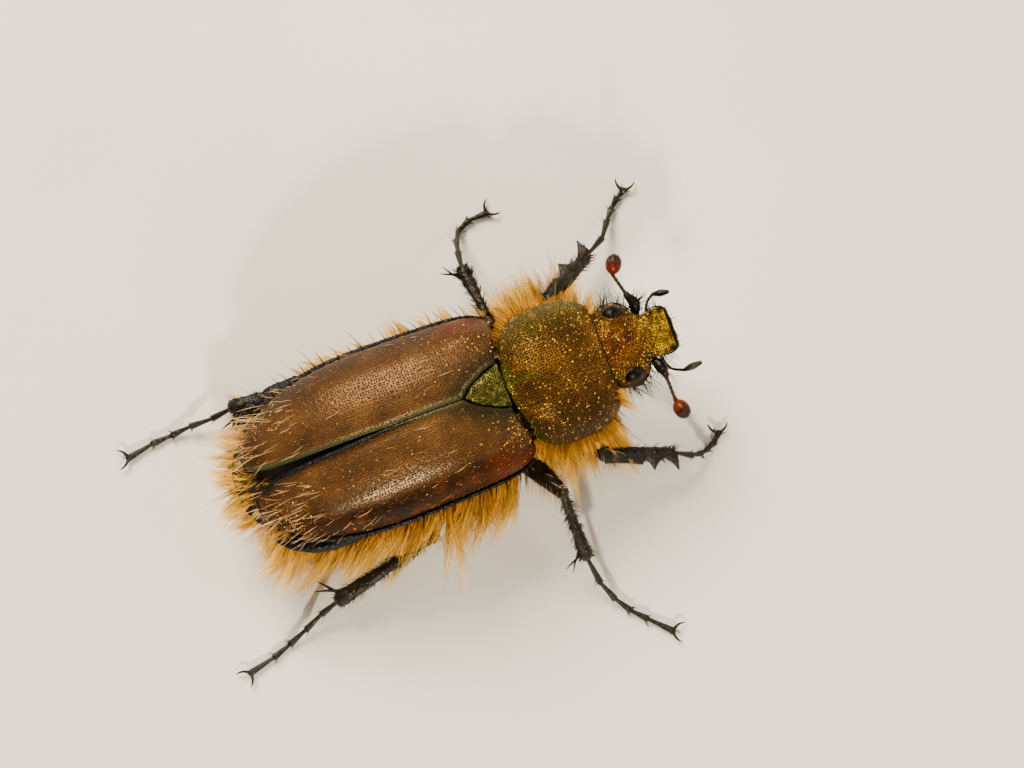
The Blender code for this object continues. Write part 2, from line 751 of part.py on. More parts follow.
def is_clear(path, obstacles):
    """Whether the free part of a lock keeps its clearance from the elytra, the legs and the floor."""
    for n in range(1, 5):
        for point in (path[n].lerp(path[n - 1], 0.5), path[n]):
            half = (LOCK_WIDTH + LOCK_THICKNESS) / 4 * (LOCK_TAPER[n][0] if n < 4 else 0.2)
            if n == 1 and point is not path[n]:
                continue
            if point.z - half < LOWEST_LOCK_Z:
                return False
            over = LOCK_THICKNESS / 2 * (LOCK_TAPER[n][1] if n < 4 else 0.2)
            beside_elytra = ELYTRA_BASE_Y - 0.25 - half < point.y < ELYTRA_END_Y + 0.2
            beside_elytra = beside_elytra and abs(point.x) < elytra_half_width(max(point.y, ELYTRA_BASE_Y)) + 0.3
            if beside_elytra and point.z + over > elytra_margin(point.y) - GAP:
                return False
            for start, end, radius in obstacles:
                if distance_to_segment(point, start, end) < radius + half + LOCK_CLEARANCE:
                    return False
    return True


def clear_lock_path(root, away, lie, length, obstacles):
    """The lock's path, turned or shortened in small steps until it passes clear of every leg."""
    for shorter in (1.0, 0.8, 0.6, 0.45):
        for turn in (0, 15, -15, 30, -30, 45, -45, 60, -60):
            turned = Matrix.Rotation(math.radians(turn), 3, "Z")
            for lift in (0.0, 0.3, -0.3, 0.6, -0.6):
                heading = (turned @ lie + UP * lift).normalized()
                path = lock_path(root, away, heading, length * shorter)
                if is_clear(path, obstacles):
                    return path
    return None


def make_lock(path, width):
    """A flat, tapered and bent lock with four edges."""
    across = (path[3] - path[0]).cross(UP).normalized()
    over = across.cross(path[3] - path[0]).normalized()
    corner = 1 / math.sqrt(2)
    sizes = [(width * corner * wide, LOCK_THICKNESS * corner * thick) for wide, thick in LOCK_TAPER]
    return sweep("lock", path, sizes + [0], sides=4, up=over, tip=True)


def coat(rows, rng, obstacles):
    """The locks of several rows. A row gives roots and outward directions, the way the hair lies, and its length."""
    made = []
    for roots, lie, length in rows:
        for root, away in roots:
            sway = Matrix.Rotation(rng.uniform(-0.16, 0.16), 3, "Z")
            path = clear_lock_path(root, away, (sway @ lie).normalized(), length * rng.uniform(0.88, 1.1), obstacles)
            if path:
                made.append(make_lock(path, LOCK_WIDTH * rng.uniform(0.88, 1.1)))
    return made


def spread(first, last, spacing):
    """Places from first to last at about that spacing."""
    count = max(round(abs(last - first) / spacing), 1)
    return [first + (last - first) * k / count for k in range(count + 1)]


def flank_rows(first_y, last_y, side):
    """Rows of roots along one flank, set off from each other. The hair lies outwards, down and to the rear."""
    rows = []
    for n, depth in enumerate(FLANK_DEPTHS):
        places = spread(first_y, last_y, LOCK_SPACING)
        roots = [flank(y + LOCK_SPACING / 2 * (n % 2), depth, SIDES[side]) for y in places]
        lie = Vector((SIDES[side] * 0.95, 0.42 + 0.12 * n, -0.05 - 0.16 * n)).normalized()
        rows.append((roots, lie, FLANK_LOCK_LENGTH[side]))
    return rows


def prothorax_rows(side):
    """Rows under the pronotum's side edge, which fan out from front to rear."""
    rows = []
    for inset, height, rise, length in ((0.04, 3.1, 0.1, 1.5), (0.16, 2.72, -0.15, 1.35), (0.4, 2.35, -0.4, 1.2)):
        for y in spread(-4.1, -1.95, 0.44):
            fan = (y + 3.1) * 0.5
            away = Vector((side, fan, -0.1)).normalized()
            root = Vector((side * (pronotum_half_width(y) - inset), y, height))
            lie = Vector((side, fan + 0.1, rise)).normalized()
            rows.append(([(root, away)], lie, length))
    return rows


def rear_rows():
    """Locks round the end of the abdomen, which fan out to the rear. Each row stands between those of the last."""
    rows = []
    for height, reach, length, count in ((2.42, 1.4, 1.3, 10), (2.12, 1.2, 1.45, 9), (1.9, 0.85, 1.45, 8)):
        widest = 7.2 * (count - 1)
        for angle in arc(-widest, widest, count):
            root = Vector((1.25 * reach * math.sin(angle), 5.0 + reach * math.cos(angle), height))
            away = Vector((math.sin(angle) * 0.9, math.cos(angle), 0.0)).normalized()
            lie = Vector((math.sin(angle) * 0.9, 0.9, -0.05)).normalized()
            rows.append(([(root, away)], lie, length))
    return rows


def carve_for_legs(body, pairs):
    """Sockets and grooves in which the legs sit, clear by the socket gap."""
    cutters = []
    for pair in pairs:
        for side in SIDES:
            cutters.append(femur((pair, side), SOCKET_GAP))
            cutters.append(tibia((pair, side), SOCKET_GAP))
    combine(body, cutters, "DIFFERENCE")


def build_body(obstacles, rng):
    """Prothorax, thorax and abdomen with their coats, and the grooves for the legs."""
    prothorax = make_prothorax()
    combine(prothorax, coat(prothorax_rows(1) + prothorax_rows(-1), rng, obstacles), "UNION")
    neck = [head_ring(y, w + GAP, low - GAP, high + GAP) for y, w, low, high in HEAD_SECTIONS[:3]]
    neck.insert(0, [p + Vector((0, GAP, 0)) for p in neck[0]])
    combine(prothorax, [loft("neck_socket", neck)], "DIFFERENCE")
    carve_for_legs(prothorax, ("front",))
    smooth(prothorax, "bronze")

    thorax = make_body_part("thorax", spread(THORAX_FRONT_Y, THORAX_END_Y, 0.32))
    rows = [r for side in SIDES for r in flank_rows(-0.95, 0.8, side)]
    combine(thorax, coat(rows, rng, obstacles), "UNION")
    carve_for_legs(thorax, ("mid", "hind"))
    smooth(thorax, "fleece")

    stations = spread(THORAX_END_Y + GAP, 5.6, 0.6) + [5.9, 6.15, 6.4, 6.58, ABDOMEN_END_Y]
    abdomen = make_body_part("abdomen", stations)
    rows = [r for side in SIDES for r in flank_rows(1.86, 5.5, side)]
    combine(abdomen, coat(rows + rear_rows(), rng, obstacles), "UNION")
    carve_for_legs(abdomen, ("hind",))
    smooth(abdomen, "fleece")


def carve_head(head):
    """Sockets for the antennae and the palps."""
    cutters = [antenna_tube(side, SOCKET_GAP) for side in SIDES]
    cutters += [palp_tube(side, SOCKET_GAP) for side in SIDES]
    combine(head, cutters, "DIFFERENCE")
    smooth(head, "bronze")


def to_metres():
    """Scales every mesh to metres and parents it to an empty that centres the model over the origin."""
    nodes = [obj for obj in bpy.context.scene.objects if obj.type == "MESH"]
    corners = [vertex.co for obj in nodes for vertex in obj.data.vertices]
    middle = [(min(c[k] for c in corners) + max(c[k] for c in corners)) / 2 for k in range(2)]
    beetle = bpy.data.objects.new("pygopleurus", None)
    bpy.context.scene.collection.objects.link(beetle)
    beetle.location = (-middle[0] * MM, -middle[1] * MM, 0)
    for obj in nodes:
        obj.data.transform(Matrix.Scale(MM, 4))
        obj.parent = beetle


def main():
    for obj in list(bpy.data.objects):
        bpy.data.objects.remove(obj)
    head = make_head()
    carve_head(head)
    for side in SIDES:
        make_eye(side)
        make_antenna(side)
        make_palp(side)
        make_elytron(side)
    make_scutellum()
    build_body(leg_segments(), random.Random(SEED))
    for leg in LEGS:
        make_leg(leg)
    to_metres()


main()
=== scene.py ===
"""Dresses the beetle: fine cuticle, compound eyes, jointed legs, a golden coat and grains of pollen.

Shapes are worked out in millimetres, with the floor under the middle of the body at the origin, the head
towards -Y and the beetle's left side towards +X. place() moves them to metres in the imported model's frame.
"""

import math

import bmesh
import bpy
import numpy as np
from mathutils import Matrix, Vector


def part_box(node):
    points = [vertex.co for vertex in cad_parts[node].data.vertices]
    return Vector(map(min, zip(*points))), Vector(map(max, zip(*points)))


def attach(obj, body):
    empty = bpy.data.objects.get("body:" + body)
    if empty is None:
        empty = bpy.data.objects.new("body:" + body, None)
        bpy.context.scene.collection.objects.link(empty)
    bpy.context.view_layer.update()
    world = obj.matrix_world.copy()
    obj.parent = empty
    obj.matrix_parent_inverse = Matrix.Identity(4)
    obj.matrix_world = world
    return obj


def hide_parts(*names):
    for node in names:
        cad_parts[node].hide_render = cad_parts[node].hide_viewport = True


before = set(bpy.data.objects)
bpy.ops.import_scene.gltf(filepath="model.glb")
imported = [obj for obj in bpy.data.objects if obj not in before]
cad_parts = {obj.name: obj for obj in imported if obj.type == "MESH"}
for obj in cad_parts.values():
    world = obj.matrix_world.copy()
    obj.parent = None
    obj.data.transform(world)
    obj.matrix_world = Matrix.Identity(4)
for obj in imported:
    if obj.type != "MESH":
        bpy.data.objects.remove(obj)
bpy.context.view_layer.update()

MM = 0.001
SIDES = {"left": 1, "right": -1}
rng = np.random.default_rng(7)

# Sizes in millimetres that the solids have too.
MARGIN_Z = 3.3
BELLY_Z = 1.5
THORAX_FRONT_Y = -1.3
ABDOMEN_END_Y = 6.72
ELYTRA_BASE_Y = -1.75
ELYTRA_WIDEST_Y = 2.0
ELYTRA_END_Y = 6.5
ELYTRON_TIP_Y = 6.24
ELYTRA_HALF_WIDTH = 2.48
SHOULDER_REACH = 3.9
SCUTELLUM_TIP_Y = -0.3
SCUTELLUM_FRONT_Y = -1.3
PRONOTUM_WIDEST_Y = -2.95
PRONOTUM_REAR = 1.4
PRONOTUM_FRONT = 1.87
PRONOTUM_FRONT_Y = -4.5
PRONOTUM_HALF_WIDTH = 2.07
PROSTERNUM_Z = 1.75
FOOT_Z = 0.18
SOLID_EYE_Y = -4.98

# Sizes in millimetres of the dressed beetle, which is finer than the solids.
LEDGE_GAP = 0.25
BODY_FRONT_Y = -1.9
ABDOMEN_ROUNDS_Y = 5.9
ELYTRON_WALL = 0.16
SUTURE_HALF_GAP = 0.025
SUTURE_OPENS_Y = 2.2
SUTURE_OPENING = 0.13
SCUTELLUM_NOTCH = 0.6
SCUTELLUM_WALL = 0.3
PRONOTUM_REAR_Y = -1.56
HEAD_FRONT_Y = -6.6
HEAD_REAR_Y = -4.16
BROW_SEAM_Y = -5.78
EYE_CENTRE = np.array((0.86, -5.08, 3.76))
EYE_RADII = np.array((0.31, 0.33, 0.35))

# Where the millimetre frame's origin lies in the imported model, found from the middle of its two eyes.
SHIFT = np.array([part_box("eye_left"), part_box("eye_right")]).mean(axis=(0, 1)) / MM - (0, SOLID_EYE_Y, 0)
SHIFT[2] = 0


# Small tools


def srgb(code):
    """A hex colour as the linear values that shader sockets take."""
    channels = [int(code[k : k + 2], 16) / 255 for k in (1, 3, 5)]
    return (*[c / 12.92 if c <= 0.04045 else ((c + 0.055) / 1.055) ** 2.4 for c in channels], 1)


def vectors(*parts):
    """Points or directions from their parts. Each part is an array, or one value for all."""
    return np.stack(np.broadcast_arrays(*parts), axis=-1).astype(float)


def unit(directions):
    directions = np.asarray(directions, float)
    return directions / np.maximum(np.linalg.norm(directions, axis=-1, keepdims=True), 1e-9)


def rise(value, start, length):
    """0 up to the start, 1 from a length beyond it, and even between. A negative length falls instead."""
    return np.clip((value - start) / length, 0, 1)


def bump_at(distance, width):
    """A soft hill of height one."""
    return np.exp(-((distance / width) ** 2))


def bulge(t, power):
    """Height of a superellipse of unit radius at distance t from its middle."""
    return (1 - np.clip(np.abs(t), 0, 1) ** power) ** (1 / power)


def rounded(angle, power):
    """How far across and how high a superellipse is at an angle."""
    c, s = np.cos(angle), np.sin(angle)
    return np.sign(c) * np.abs(c) ** (2 / power), np.sign(s) * np.abs(s) ** (2 / power)


def around(count, start=0.0):
    """Angles once round a ring."""
    return np.linspace(start, start + 2 * math.pi, count, endpoint=False)


def hermite(points, at):
    """The height at a place on the smooth curve through a few (place, height) points."""
    last = len(points) - 2
    i = next((k for k in range(last) if at < points[k + 1][0]), last)
    (x0, z0), (x1, z1) = points[i], points[i + 1]
    before, after = points[max(i - 1, 0)], points[min(i + 2, last + 1)]
    slope0 = (z1 - before[1]) / (x1 - before[0])
    slope1 = (after[1] - z0) / (after[0] - x0)
    run = x1 - x0
    t = min(max((at - x0) / run, 0), 1)
    near = (2 * t**3 - 3 * t**2 + 1) * z0 + (t**3 - 2 * t**2 + t) * run * slope0
    return near + (3 * t**2 - 2 * t**3) * z1 + (t**3 - t**2) * run * slope1


def curve(*points):
    """A function that reads the smooth curve through a few (place, height) points, for whole arrays."""
    places = np.linspace(points[0][0], points[-1][0], 400)
    heights = np.array([hermite(points, at) for at in places])
    return lambda at: np.interp(at, places, heights)


def resample(points, radii, count):
    """A smooth path and its radii at evenly spaced places, through a few given ones."""
    points = np.asarray(points, float)
    steps = np.concatenate([[0], np.cumsum(np.linalg.norm(np.diff(points, axis=0), axis=1))])
    at = np.linspace(0, steps[-1], count)
    columns = [curve(*zip(steps, points[:, k]))(at) for k in range(3)]
    return np.stack(columns, axis=-1), curve(*zip(steps, radii))(at)


def place(points):
    """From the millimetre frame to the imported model's."""
    return (np.asarray(points, float) + SHIFT) * MM


def grid_faces(rows, columns, closed=False, first=0):
    """Quads between rows of points. A closed grid joins each row's last point to its first."""
    r, c = np.meshgrid(np.arange(rows - 1), np.arange(columns if closed else columns - 1), indexing="ij")
    a, b = r * columns + c, r * columns + (c + 1) % columns
    return first + np.stack([a, b, b + columns, a + columns], axis=-1).reshape(-1, 4)


def repeated(faces, count, step):
    """The faces of many like shapes, when each has its points a step after the last one's."""
    return (faces + step * np.arange(count)[:, None, None]).reshape(-1, faces.shape[-1])


def piece(name, points, faces, materials, nodes=(), attributes=None, uv=None):
    """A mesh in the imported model's frame that rides on its body and may stand for some of its nodes."""
    mesh = bpy.data.meshes.new(name)
    points, faces = place(points).reshape(-1, 3), np.asarray(faces, dtype=np.int32)
    mesh.vertices.add(len(points))
    mesh.vertices.foreach_set("co", points.astype(np.float32).ravel())
    mesh.loops.add(faces.size)
    mesh.loops.foreach_set("vertex_index", faces.ravel())
    mesh.polygons.add(len(faces))
    mesh.polygons.foreach_set("loop_start", np.arange(0, faces.size, faces.shape[1], dtype=np.int32))
    mesh.update(calc_edges=True)
    mesh.validate()
    for key, values in (attributes or {}).items():
        kind, field = ("FLOAT_VECTOR", "vector") if key == "laid_out" else ("FLOAT", "value")
        layer = mesh.attributes.new(key, kind, "POINT")
        layer.data.foreach_set(field, np.asarray(values, np.float32).ravel())
    if uv is not None:
        mesh.uv_layers.new(name="OFBake").data.foreach_set("uv", np.asarray(uv, np.float32).ravel())
    mesh.shade_smooth()
    for material in materials:
        mesh.materials.append(material)
    obj = bpy.data.objects.new(name, mesh)
    bpy.context.scene.collection.objects.link(obj)
    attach(obj, "root")
    if nodes:
        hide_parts(*nodes)
    return obj


def outward_normals(obj):
    work = bmesh.new()
    work.from_mesh(obj.data)
    bmesh.ops.recalc_face_normals(work, faces=work.faces)
    work.to_mesh(obj.data)
    work.free()
    return obj


def thicken(obj, wall, **settings):
    """Gives a shell its wall, inwards from the surface that is drawn."""
    modifier = obj.modifiers.new("wall", "SOLIDIFY")
    for key, value in {"thickness": wall * MM, "offset": -1, **settings}.items():
        setattr(modifier, key, value)


def sphere(rings, sides, pole=0.02):
    """Rows of points on a ball of radius one. The pole is the half angle of the holes at its two ends."""
    down = np.linspace(pole, math.pi - pole, rings)[:, None]
    turn = around(sides)
    return vectors(np.sin(down) * np.cos(turn), np.sin(down) * np.sin(turn), np.cos(down))


class Shape:
    """Several surfaces gathered in one mesh. Each has a tone, which the material reads."""

    def __init__(self):
        self.points, self.faces, self.tones, self.count = [], [], [], 0

    def grid(self, points, tone=0.0):
        """Closed rows of points."""
        rows, columns = points.shape[:2]
        self.faces.append(grid_faces(rows, columns, True, self.count))
        self.points.append(points.reshape(-1, 3))
        self.tones.append(np.broadcast_to(tone, (rows, columns)).reshape(-1))
        self.count += rows * columns

    def tube(self, path, radii, sides=12, up=(0, 0, 1), tone=0.0, flatten=1.0, lumps=0.0):
        """A round-ended limb along a path. radii gives the half width at each point, flatten its height share
        and lumps how uneven it is."""
        path, radii = np.asarray(path, float), np.asarray(radii, float)
        along = unit(np.gradient(path, axis=0))
        across = unit(np.cross(along, np.asarray(up, float)))
        over = np.cross(across, along)
        rings = list(zip(path, radii, across, over))
        for end, way in ((0, -along[0]), (-1, along[-1])):
            centre, radius, a, o = rings[end]
            caps = []
            for out, share in ((0.7, 0.72), (1.0, 0.02)):
                caps.append((centre + way * radius * 0.75 * out, radius * share, a, o))
            rings = caps[::-1] + rings if end == 0 else rings + caps
        turn = around(sides)
        points = []
        for centre, radius, a, o in rings:
            uneven = 1 + lumps * rng.normal(0, 1, (sides, 1))
            ring = np.outer(np.cos(turn), a) + np.outer(np.sin(turn), o) * flatten
            points.append(centre + ring * radius * uneven)
        self.grid(np.array(points), tone)

    def limb(self, points, radii, count, sides, **more):
        """A tube along the smooth path through a few points. Gives that path and its half widths."""
        path, radii = resample(points, radii, count)
        self.tube(path, radii, sides, **more)
        return path, radii

    def ball(self, centre, radii, tone=0.0, rings=14, sides=20):
        self.grid(sphere(rings, sides) * radii + centre, tone)

    def make(self, name, material, nodes=()):
        points, faces, tones = (np.concatenate(parts) for parts in (self.points, self.faces, self.tones))
        outward_normals(piece(name, points, faces, [material], nodes, {"tone": tones}))


# The body's surfaces

elytra_top = curve((-1.8, 4.85), (0.6, 5.3), (3.0, 5.12), (5.0, 4.45), (6.5, 3.5))
pronotum_top = curve((-4.6, 4.25), (-3.6, 4.8), (-2.5, 4.98), (-1.55, 4.75))
head_half_width = curve(
    (HEAD_FRONT_Y, 0.60), (-6.45, 0.67), (-6.2, 0.69), (-5.85, 0.65), (-5.66, 0.78), (-5.5, 1.02),
    (-5.2, 1.24), (-4.9, 1.23), (-4.5, 1.06), (HEAD_REAR_Y, 0.7),
)
head_low = curve(
    (HEAD_FRONT_Y, 3.16), (-6.4, 3.0), (-5.8, 2.7), (-5.3, 2.5), (-4.9, 2.42), (-4.5, 2.5),
    (HEAD_REAR_Y, 2.8),
)
head_high = curve(
    (HEAD_FRONT_Y, 3.5), (-6.4, 3.5), (-6.1, 3.66), (-5.8, 3.84), (-5.3, 4.14), (-4.9, 4.26), (-4.5, 4.22),
    (HEAD_REAR_Y, 4.0),
)
SEGMENT_SEAMS = (1.35, 2.35, 3.25, 4.1, 4.9, 5.7)


def elytra_half_width(y):
    reach = rise(y, ELYTRA_WIDEST_Y, -SHOULDER_REACH)
    rear = bulge(rise(y, ELYTRA_WIDEST_Y, ELYTRA_END_Y - ELYTRA_WIDEST_Y), 2.4)
    return ELYTRA_HALF_WIDTH * np.where(y >= ELYTRA_WIDEST_Y, rear, bulge(reach, 7) * (1 - 0.05 * reach))


def elytra_margin(y):
    return MARGIN_Z - 0.3 * np.clip(y - 1.0, 0, None) / (ELYTRA_END_Y - 1.0)


def suture_x(y):
    """How far a wing case's inner edge is from the middle: notched for the scutellum, open to the rear."""
    notch = np.clip((SCUTELLUM_TIP_Y - y) / (SCUTELLUM_TIP_Y - SCUTELLUM_FRONT_Y), 0, 1.2) ** 0.62
    opening = rise(y, SUTURE_OPENS_Y, ELYTRON_TIP_Y - SUTURE_OPENS_Y)
    rear = SUTURE_OPENING * opening**0.8 + 0.28 * opening**9
    return SUTURE_HALF_GAP + (SCUTELLUM_NOTCH - SUTURE_HALF_GAP) * notch + rear


def pronotum_half_width(y):
    reach = y - PRONOTUM_WIDEST_Y
    rear, front = bulge(reach / PRONOTUM_REAR, 2.6), bulge(reach / PRONOTUM_FRONT, 2.8)
    return PRONOTUM_HALF_WIDTH * np.where(reach > 0, rear, front)


def pronotum_rear_y(x):
    return PRONOTUM_WIDEST_Y + PRONOTUM_REAR * bulge(x / PRONOTUM_HALF_WIDTH, 2.6)


def elytron_y(u):
    return ELYTRA_BASE_Y + (ELYTRON_TIP_Y - ELYTRA_BASE_Y) * u


def elytron_point(sign, u, v):
    """A point of a wing case: u runs from its base to its tip, v from the suture to the outer margin."""
    y = elytron_y(u)
    inner, width = suture_x(y), elytra_half_width(y)
    x = inner + (width - inner) * np.sin(v * math.pi / 2) ** 0.85
    z = elytra_margin(y) + (elytra_top(y) - elytra_margin(y)) * bulge(x / width, 2.5)
    z = z + 0.11 * bump_at(np.hypot((x - 1.72) / 0.34, (y + 1.0) / 0.5), 1)
    z = z + 0.03 * bump_at(x - inner, 0.08) - 0.03 * bump_at(x - inner - 0.2, 0.12)
    z = z - 0.018 * bump_at(x - 1.35, 0.16) * bulge((y - 1.2) / 4.2, 2) + 0.012 * bump_at(x - 0.85, 0.2)
    base = np.maximum(pronotum_rear_y(x) + 0.07, ELYTRA_BASE_Y)
    y = y + (base - ELYTRA_BASE_Y) * rise(y, ELYTRA_BASE_Y + 1.6, -1.6) ** 2
    return vectors(sign * x, y, z)


def elytron_normal(sign, u, v):
    step = 0.004
    du = elytron_point(sign, np.clip(u + step, 0, 1), v) - elytron_point(sign, np.clip(u - step, 0, 1), v)
    dv = elytron_point(sign, u, np.clip(v + step, 0, 1)) - elytron_point(sign, u, np.clip(v - step, 0, 1))
    normal = unit(np.cross(du, dv))
    return normal * np.sign(normal[..., 2:3] + 1e-9)


def pronotum_ring(y, angle):
    """A point of the prothorax: angle 0 is its left edge, a quarter turn its top, half a turn the right."""
    above = np.sin(angle) >= 0
    across, height = rounded(angle, np.where(above, 2.3, 1.8))
    floor = PROSTERNUM_Z + 0.25 * np.abs(y + 3.0)
    z = MARGIN_Z + height * np.where(above, pronotum_top(y) - MARGIN_Z, MARGIN_Z - floor)
    x = np.maximum(pronotum_half_width(y), 0.5) * across * np.where(above, 1, 0.97)
    rim = bump_at(angle % (2 * math.pi), 0.05) + bump_at(angle % (2 * math.pi) - math.pi, 0.05)
    x = x * (1 + 0.014 * rim)
    z = z - 0.03 * bump_at(x, 0.1) * above
    x = x * (1 - 0.07 * rise(x, 0, 1.2))
    return vectors(x, y, z)


def body_point(y, angle):
    """A point of thorax and abdomen: angle 0 is the left ledge, less is the underside and more the back."""
    outer = elytra_half_width(np.minimum(y, ABDOMEN_ROUNDS_Y)) - 0.12
    outer = outer - 0.55 * (np.clip(THORAX_FRONT_Y + 0.9 - y, 0, None) / 0.9) ** 2
    outer = outer * bulge(rise(y, ABDOMEN_ROUNDS_Y, ABDOMEN_END_Y + 0.06 - ABDOMEN_ROUNDS_Y), 2)
    inner = np.maximum(elytra_half_width(y) - 0.44, outer * 0.45)
    inner = np.minimum(inner, np.maximum(outer - 0.12, outer * 0.8))
    ledge = elytra_margin(y) - LEDGE_GAP - 0.05 * np.clip(y - 4, 0, None)
    upturn = np.clip((y - 2.5) / (ABDOMEN_END_Y - 2.5), 0, None) ** 2
    belly = BELLY_Z + 0.1 * np.clip(-y, 0, None) + 0.95 * upturn
    top = np.maximum(elytra_top(y) - 0.75 * (1 + 0.12 * np.clip(y - 3, 0, None)), ledge + 0.12)
    below = np.sin(angle) < 0
    across, height = rounded(angle, np.where(below, 2.3, 2.4))
    groove = sum(bump_at(y - seam, 0.06) for seam in SEGMENT_SEAMS) * below * 0.035
    x = np.where(below, outer, inner) * across * (1 - groove)
    return vectors(x, y, ledge + height * np.where(below, ledge - belly, top - ledge) * (1 - groove))


def head_point(y, angle):
    """A point of the head: angle 0 is its left side, a quarter turn its top."""
    low, high = head_low(y), head_high(y)
    across, height = rounded(angle, 2.3 + 1.5 * rise(y, -5.5, -0.5))
    x = head_half_width(y) * across
    beside_eye = np.hypot(np.abs(x) - EYE_CENTRE[0], y - EYE_CENTRE[1])
    carved = -0.03 * bump_at(y - BROW_SEAM_Y, 0.06)
    carved = carved - 0.07 * bulge(np.clip((y + 6.15) / 0.33, -1, 1), 2) * bulge(x / 0.62, 3)
    carved = carved + 0.05 * bump_at(y + 6.5, 0.05)
    carved = carved + 0.075 * bump_at(beside_eye - 0.4, 0.055) * rise(y, -4.95, -0.2)
    carved = carved - 0.04 * bump_at(beside_eye - 0.31, 0.04)
    return vectors(x, y, (low + high) / 2 + (high - low) / 2 * height + carved * np.clip(np.sin(angle), 0, 1))


# Materials


class Look:
    """A material's colours and bumps, laid one over the other on its Principled shader."""

    def __init__(self, name):
        self.material = bpy.data.materials.new(name)
        self.material.use_nodes = True
        self.tree = self.material.node_tree
        self.colour = None
        self.normal = None

    def join(self, node, inputs):
        """Gives each input its value, or links it to the output that it is given."""
        for key, value in inputs.items():
            if isinstance(value, bpy.types.NodeSocket):
                self.tree.links.new(value, node.inputs[key])
            else:
                node.inputs[key].default_value = value

    def add(self, kind, inputs=None, out=0, stops=(), **settings):
        """Adds a node with its settings and links, and gives one of its outputs."""
        made = self.tree.nodes.new(kind)
        for key, value in settings.items():
            setattr(made, key, value)
        self.join(made, inputs or {})
        if stops:
            elements = made.color_ramp.elements
            while len(elements) < len(stops):
                elements.new(0.5)
            for element, (at, colour) in zip(elements, stops):
                element.position = at
                element.color = srgb(colour)
        return made.outputs[out]

    def patches(self, size_mm, detail=3):
        """A share that drifts between 0 and 1 over about size_mm."""
        where = self.add("ShaderNodeTexCoord", out="Object")
        inputs = {"Vector": where, "Scale": 1 / (size_mm * MM), "Detail": detail, "Roughness": 0.55}
        return self.add("ShaderNodeTexNoise", inputs)

    def mottled(self, size_mm, detail, *stops):
        """A colour that drifts between the stops in patches of size_mm."""
        return self.add("ShaderNodeValToRGB", {0: self.patches(size_mm, detail)}, stops=stops)

    def uneven(self, size_mm, low, high):
        """A value that drifts between low and high in patches of size_mm."""
        return self.add("ShaderNodeMapRange", {0: self.patches(size_mm), 3: low, 4: high})

    def zone(self, name, low, high):
        """A share that rises from 0 to 1 as a mesh attribute goes from low to high."""
        value = self.add("ShaderNodeAttribute", out="Fac", attribute_name=name)
        return self.add("ShaderNodeMapRange", {0: value, 1: low, 2: high}, interpolation_type="SMOOTHSTEP")

    def lay(self, over, share=1.0, blend="MIX"):
        """Lays a colour over the ones before it, as strongly as the share says."""
        inputs = {0: share, 6: self.colour, 7: srgb(over) if isinstance(over, str) else over}
        self.colour = self.add("ShaderNodeMix", inputs, 2, data_type="RGBA", blend_type=blend)

    def dim(self, share, low, high):
        """Multiplies the colour by a grey between low and high."""
        grey = self.add("ShaderNodeMapRange", {0: share, 3: low, 4: high})
        self.lay(self.add("ShaderNodeCombineColor", {0: grey, 1: grey, 2: grey}), 1.0, "MULTIPLY")

    def bumps(self, height, depth_mm, strength=1.0):
        """Bumps of depth_mm, on top of the ones before them."""
        inputs = {"Height": height, "Distance": depth_mm * MM, "Strength": strength}
        if self.normal is not None:
            inputs["Normal"] = self.normal
        self.normal = self.add("ShaderNodeBump", inputs)

    def pits(self, spacing_mm, wide, dark, laid_out=True):
        """Round punctures at about spacing_mm, with painted shade of the colour dark in their bottoms. Gives
        their height, 0 in a pit and 1 between pits. On a piece that has its surface laid out in millimetres
        every pit is whole."""
        if laid_out:
            where = self.add("ShaderNodeAttribute", out="Vector", attribute_name="laid_out")
        else:
            where = self.add("ShaderNodeTexCoord", out="Object")
        scale = 1 / (spacing_mm if laid_out else spacing_mm * MM)
        inputs = {"Vector": where, "Scale": scale, "Randomness": 0.6}
        cells = self.add("ShaderNodeTexVoronoi", inputs, voronoi_dimensions="2D" if laid_out else "3D")
        height, shade = (
            self.add("ShaderNodeMapRange", {0: cells, 1: low, 2: high}, interpolation_type="SMOOTHSTEP")
            for low, high in ((0.0, wide), (wide * 0.35, wide * 0.95))
        )
        # The darker pit bottoms laid here are painted shade.
        between = self.colour
        self.lay(dark, 1.0, "MULTIPLY")
        self.lay(between, shade)
        return height

    def finish(self, **sockets):
        """Sets the shader's sockets, with _ for the spaces in their names, and gives the material."""
        inputs = {key.replace("_", " "): value for key, value in sockets.items()}
        if self.normal is not None:
            inputs.update({"Normal": self.normal, "Coat Normal": self.normal})
        self.join(self.tree.nodes["Principled BSDF"], {"Base Color": self.colour, **inputs})
        return self.material


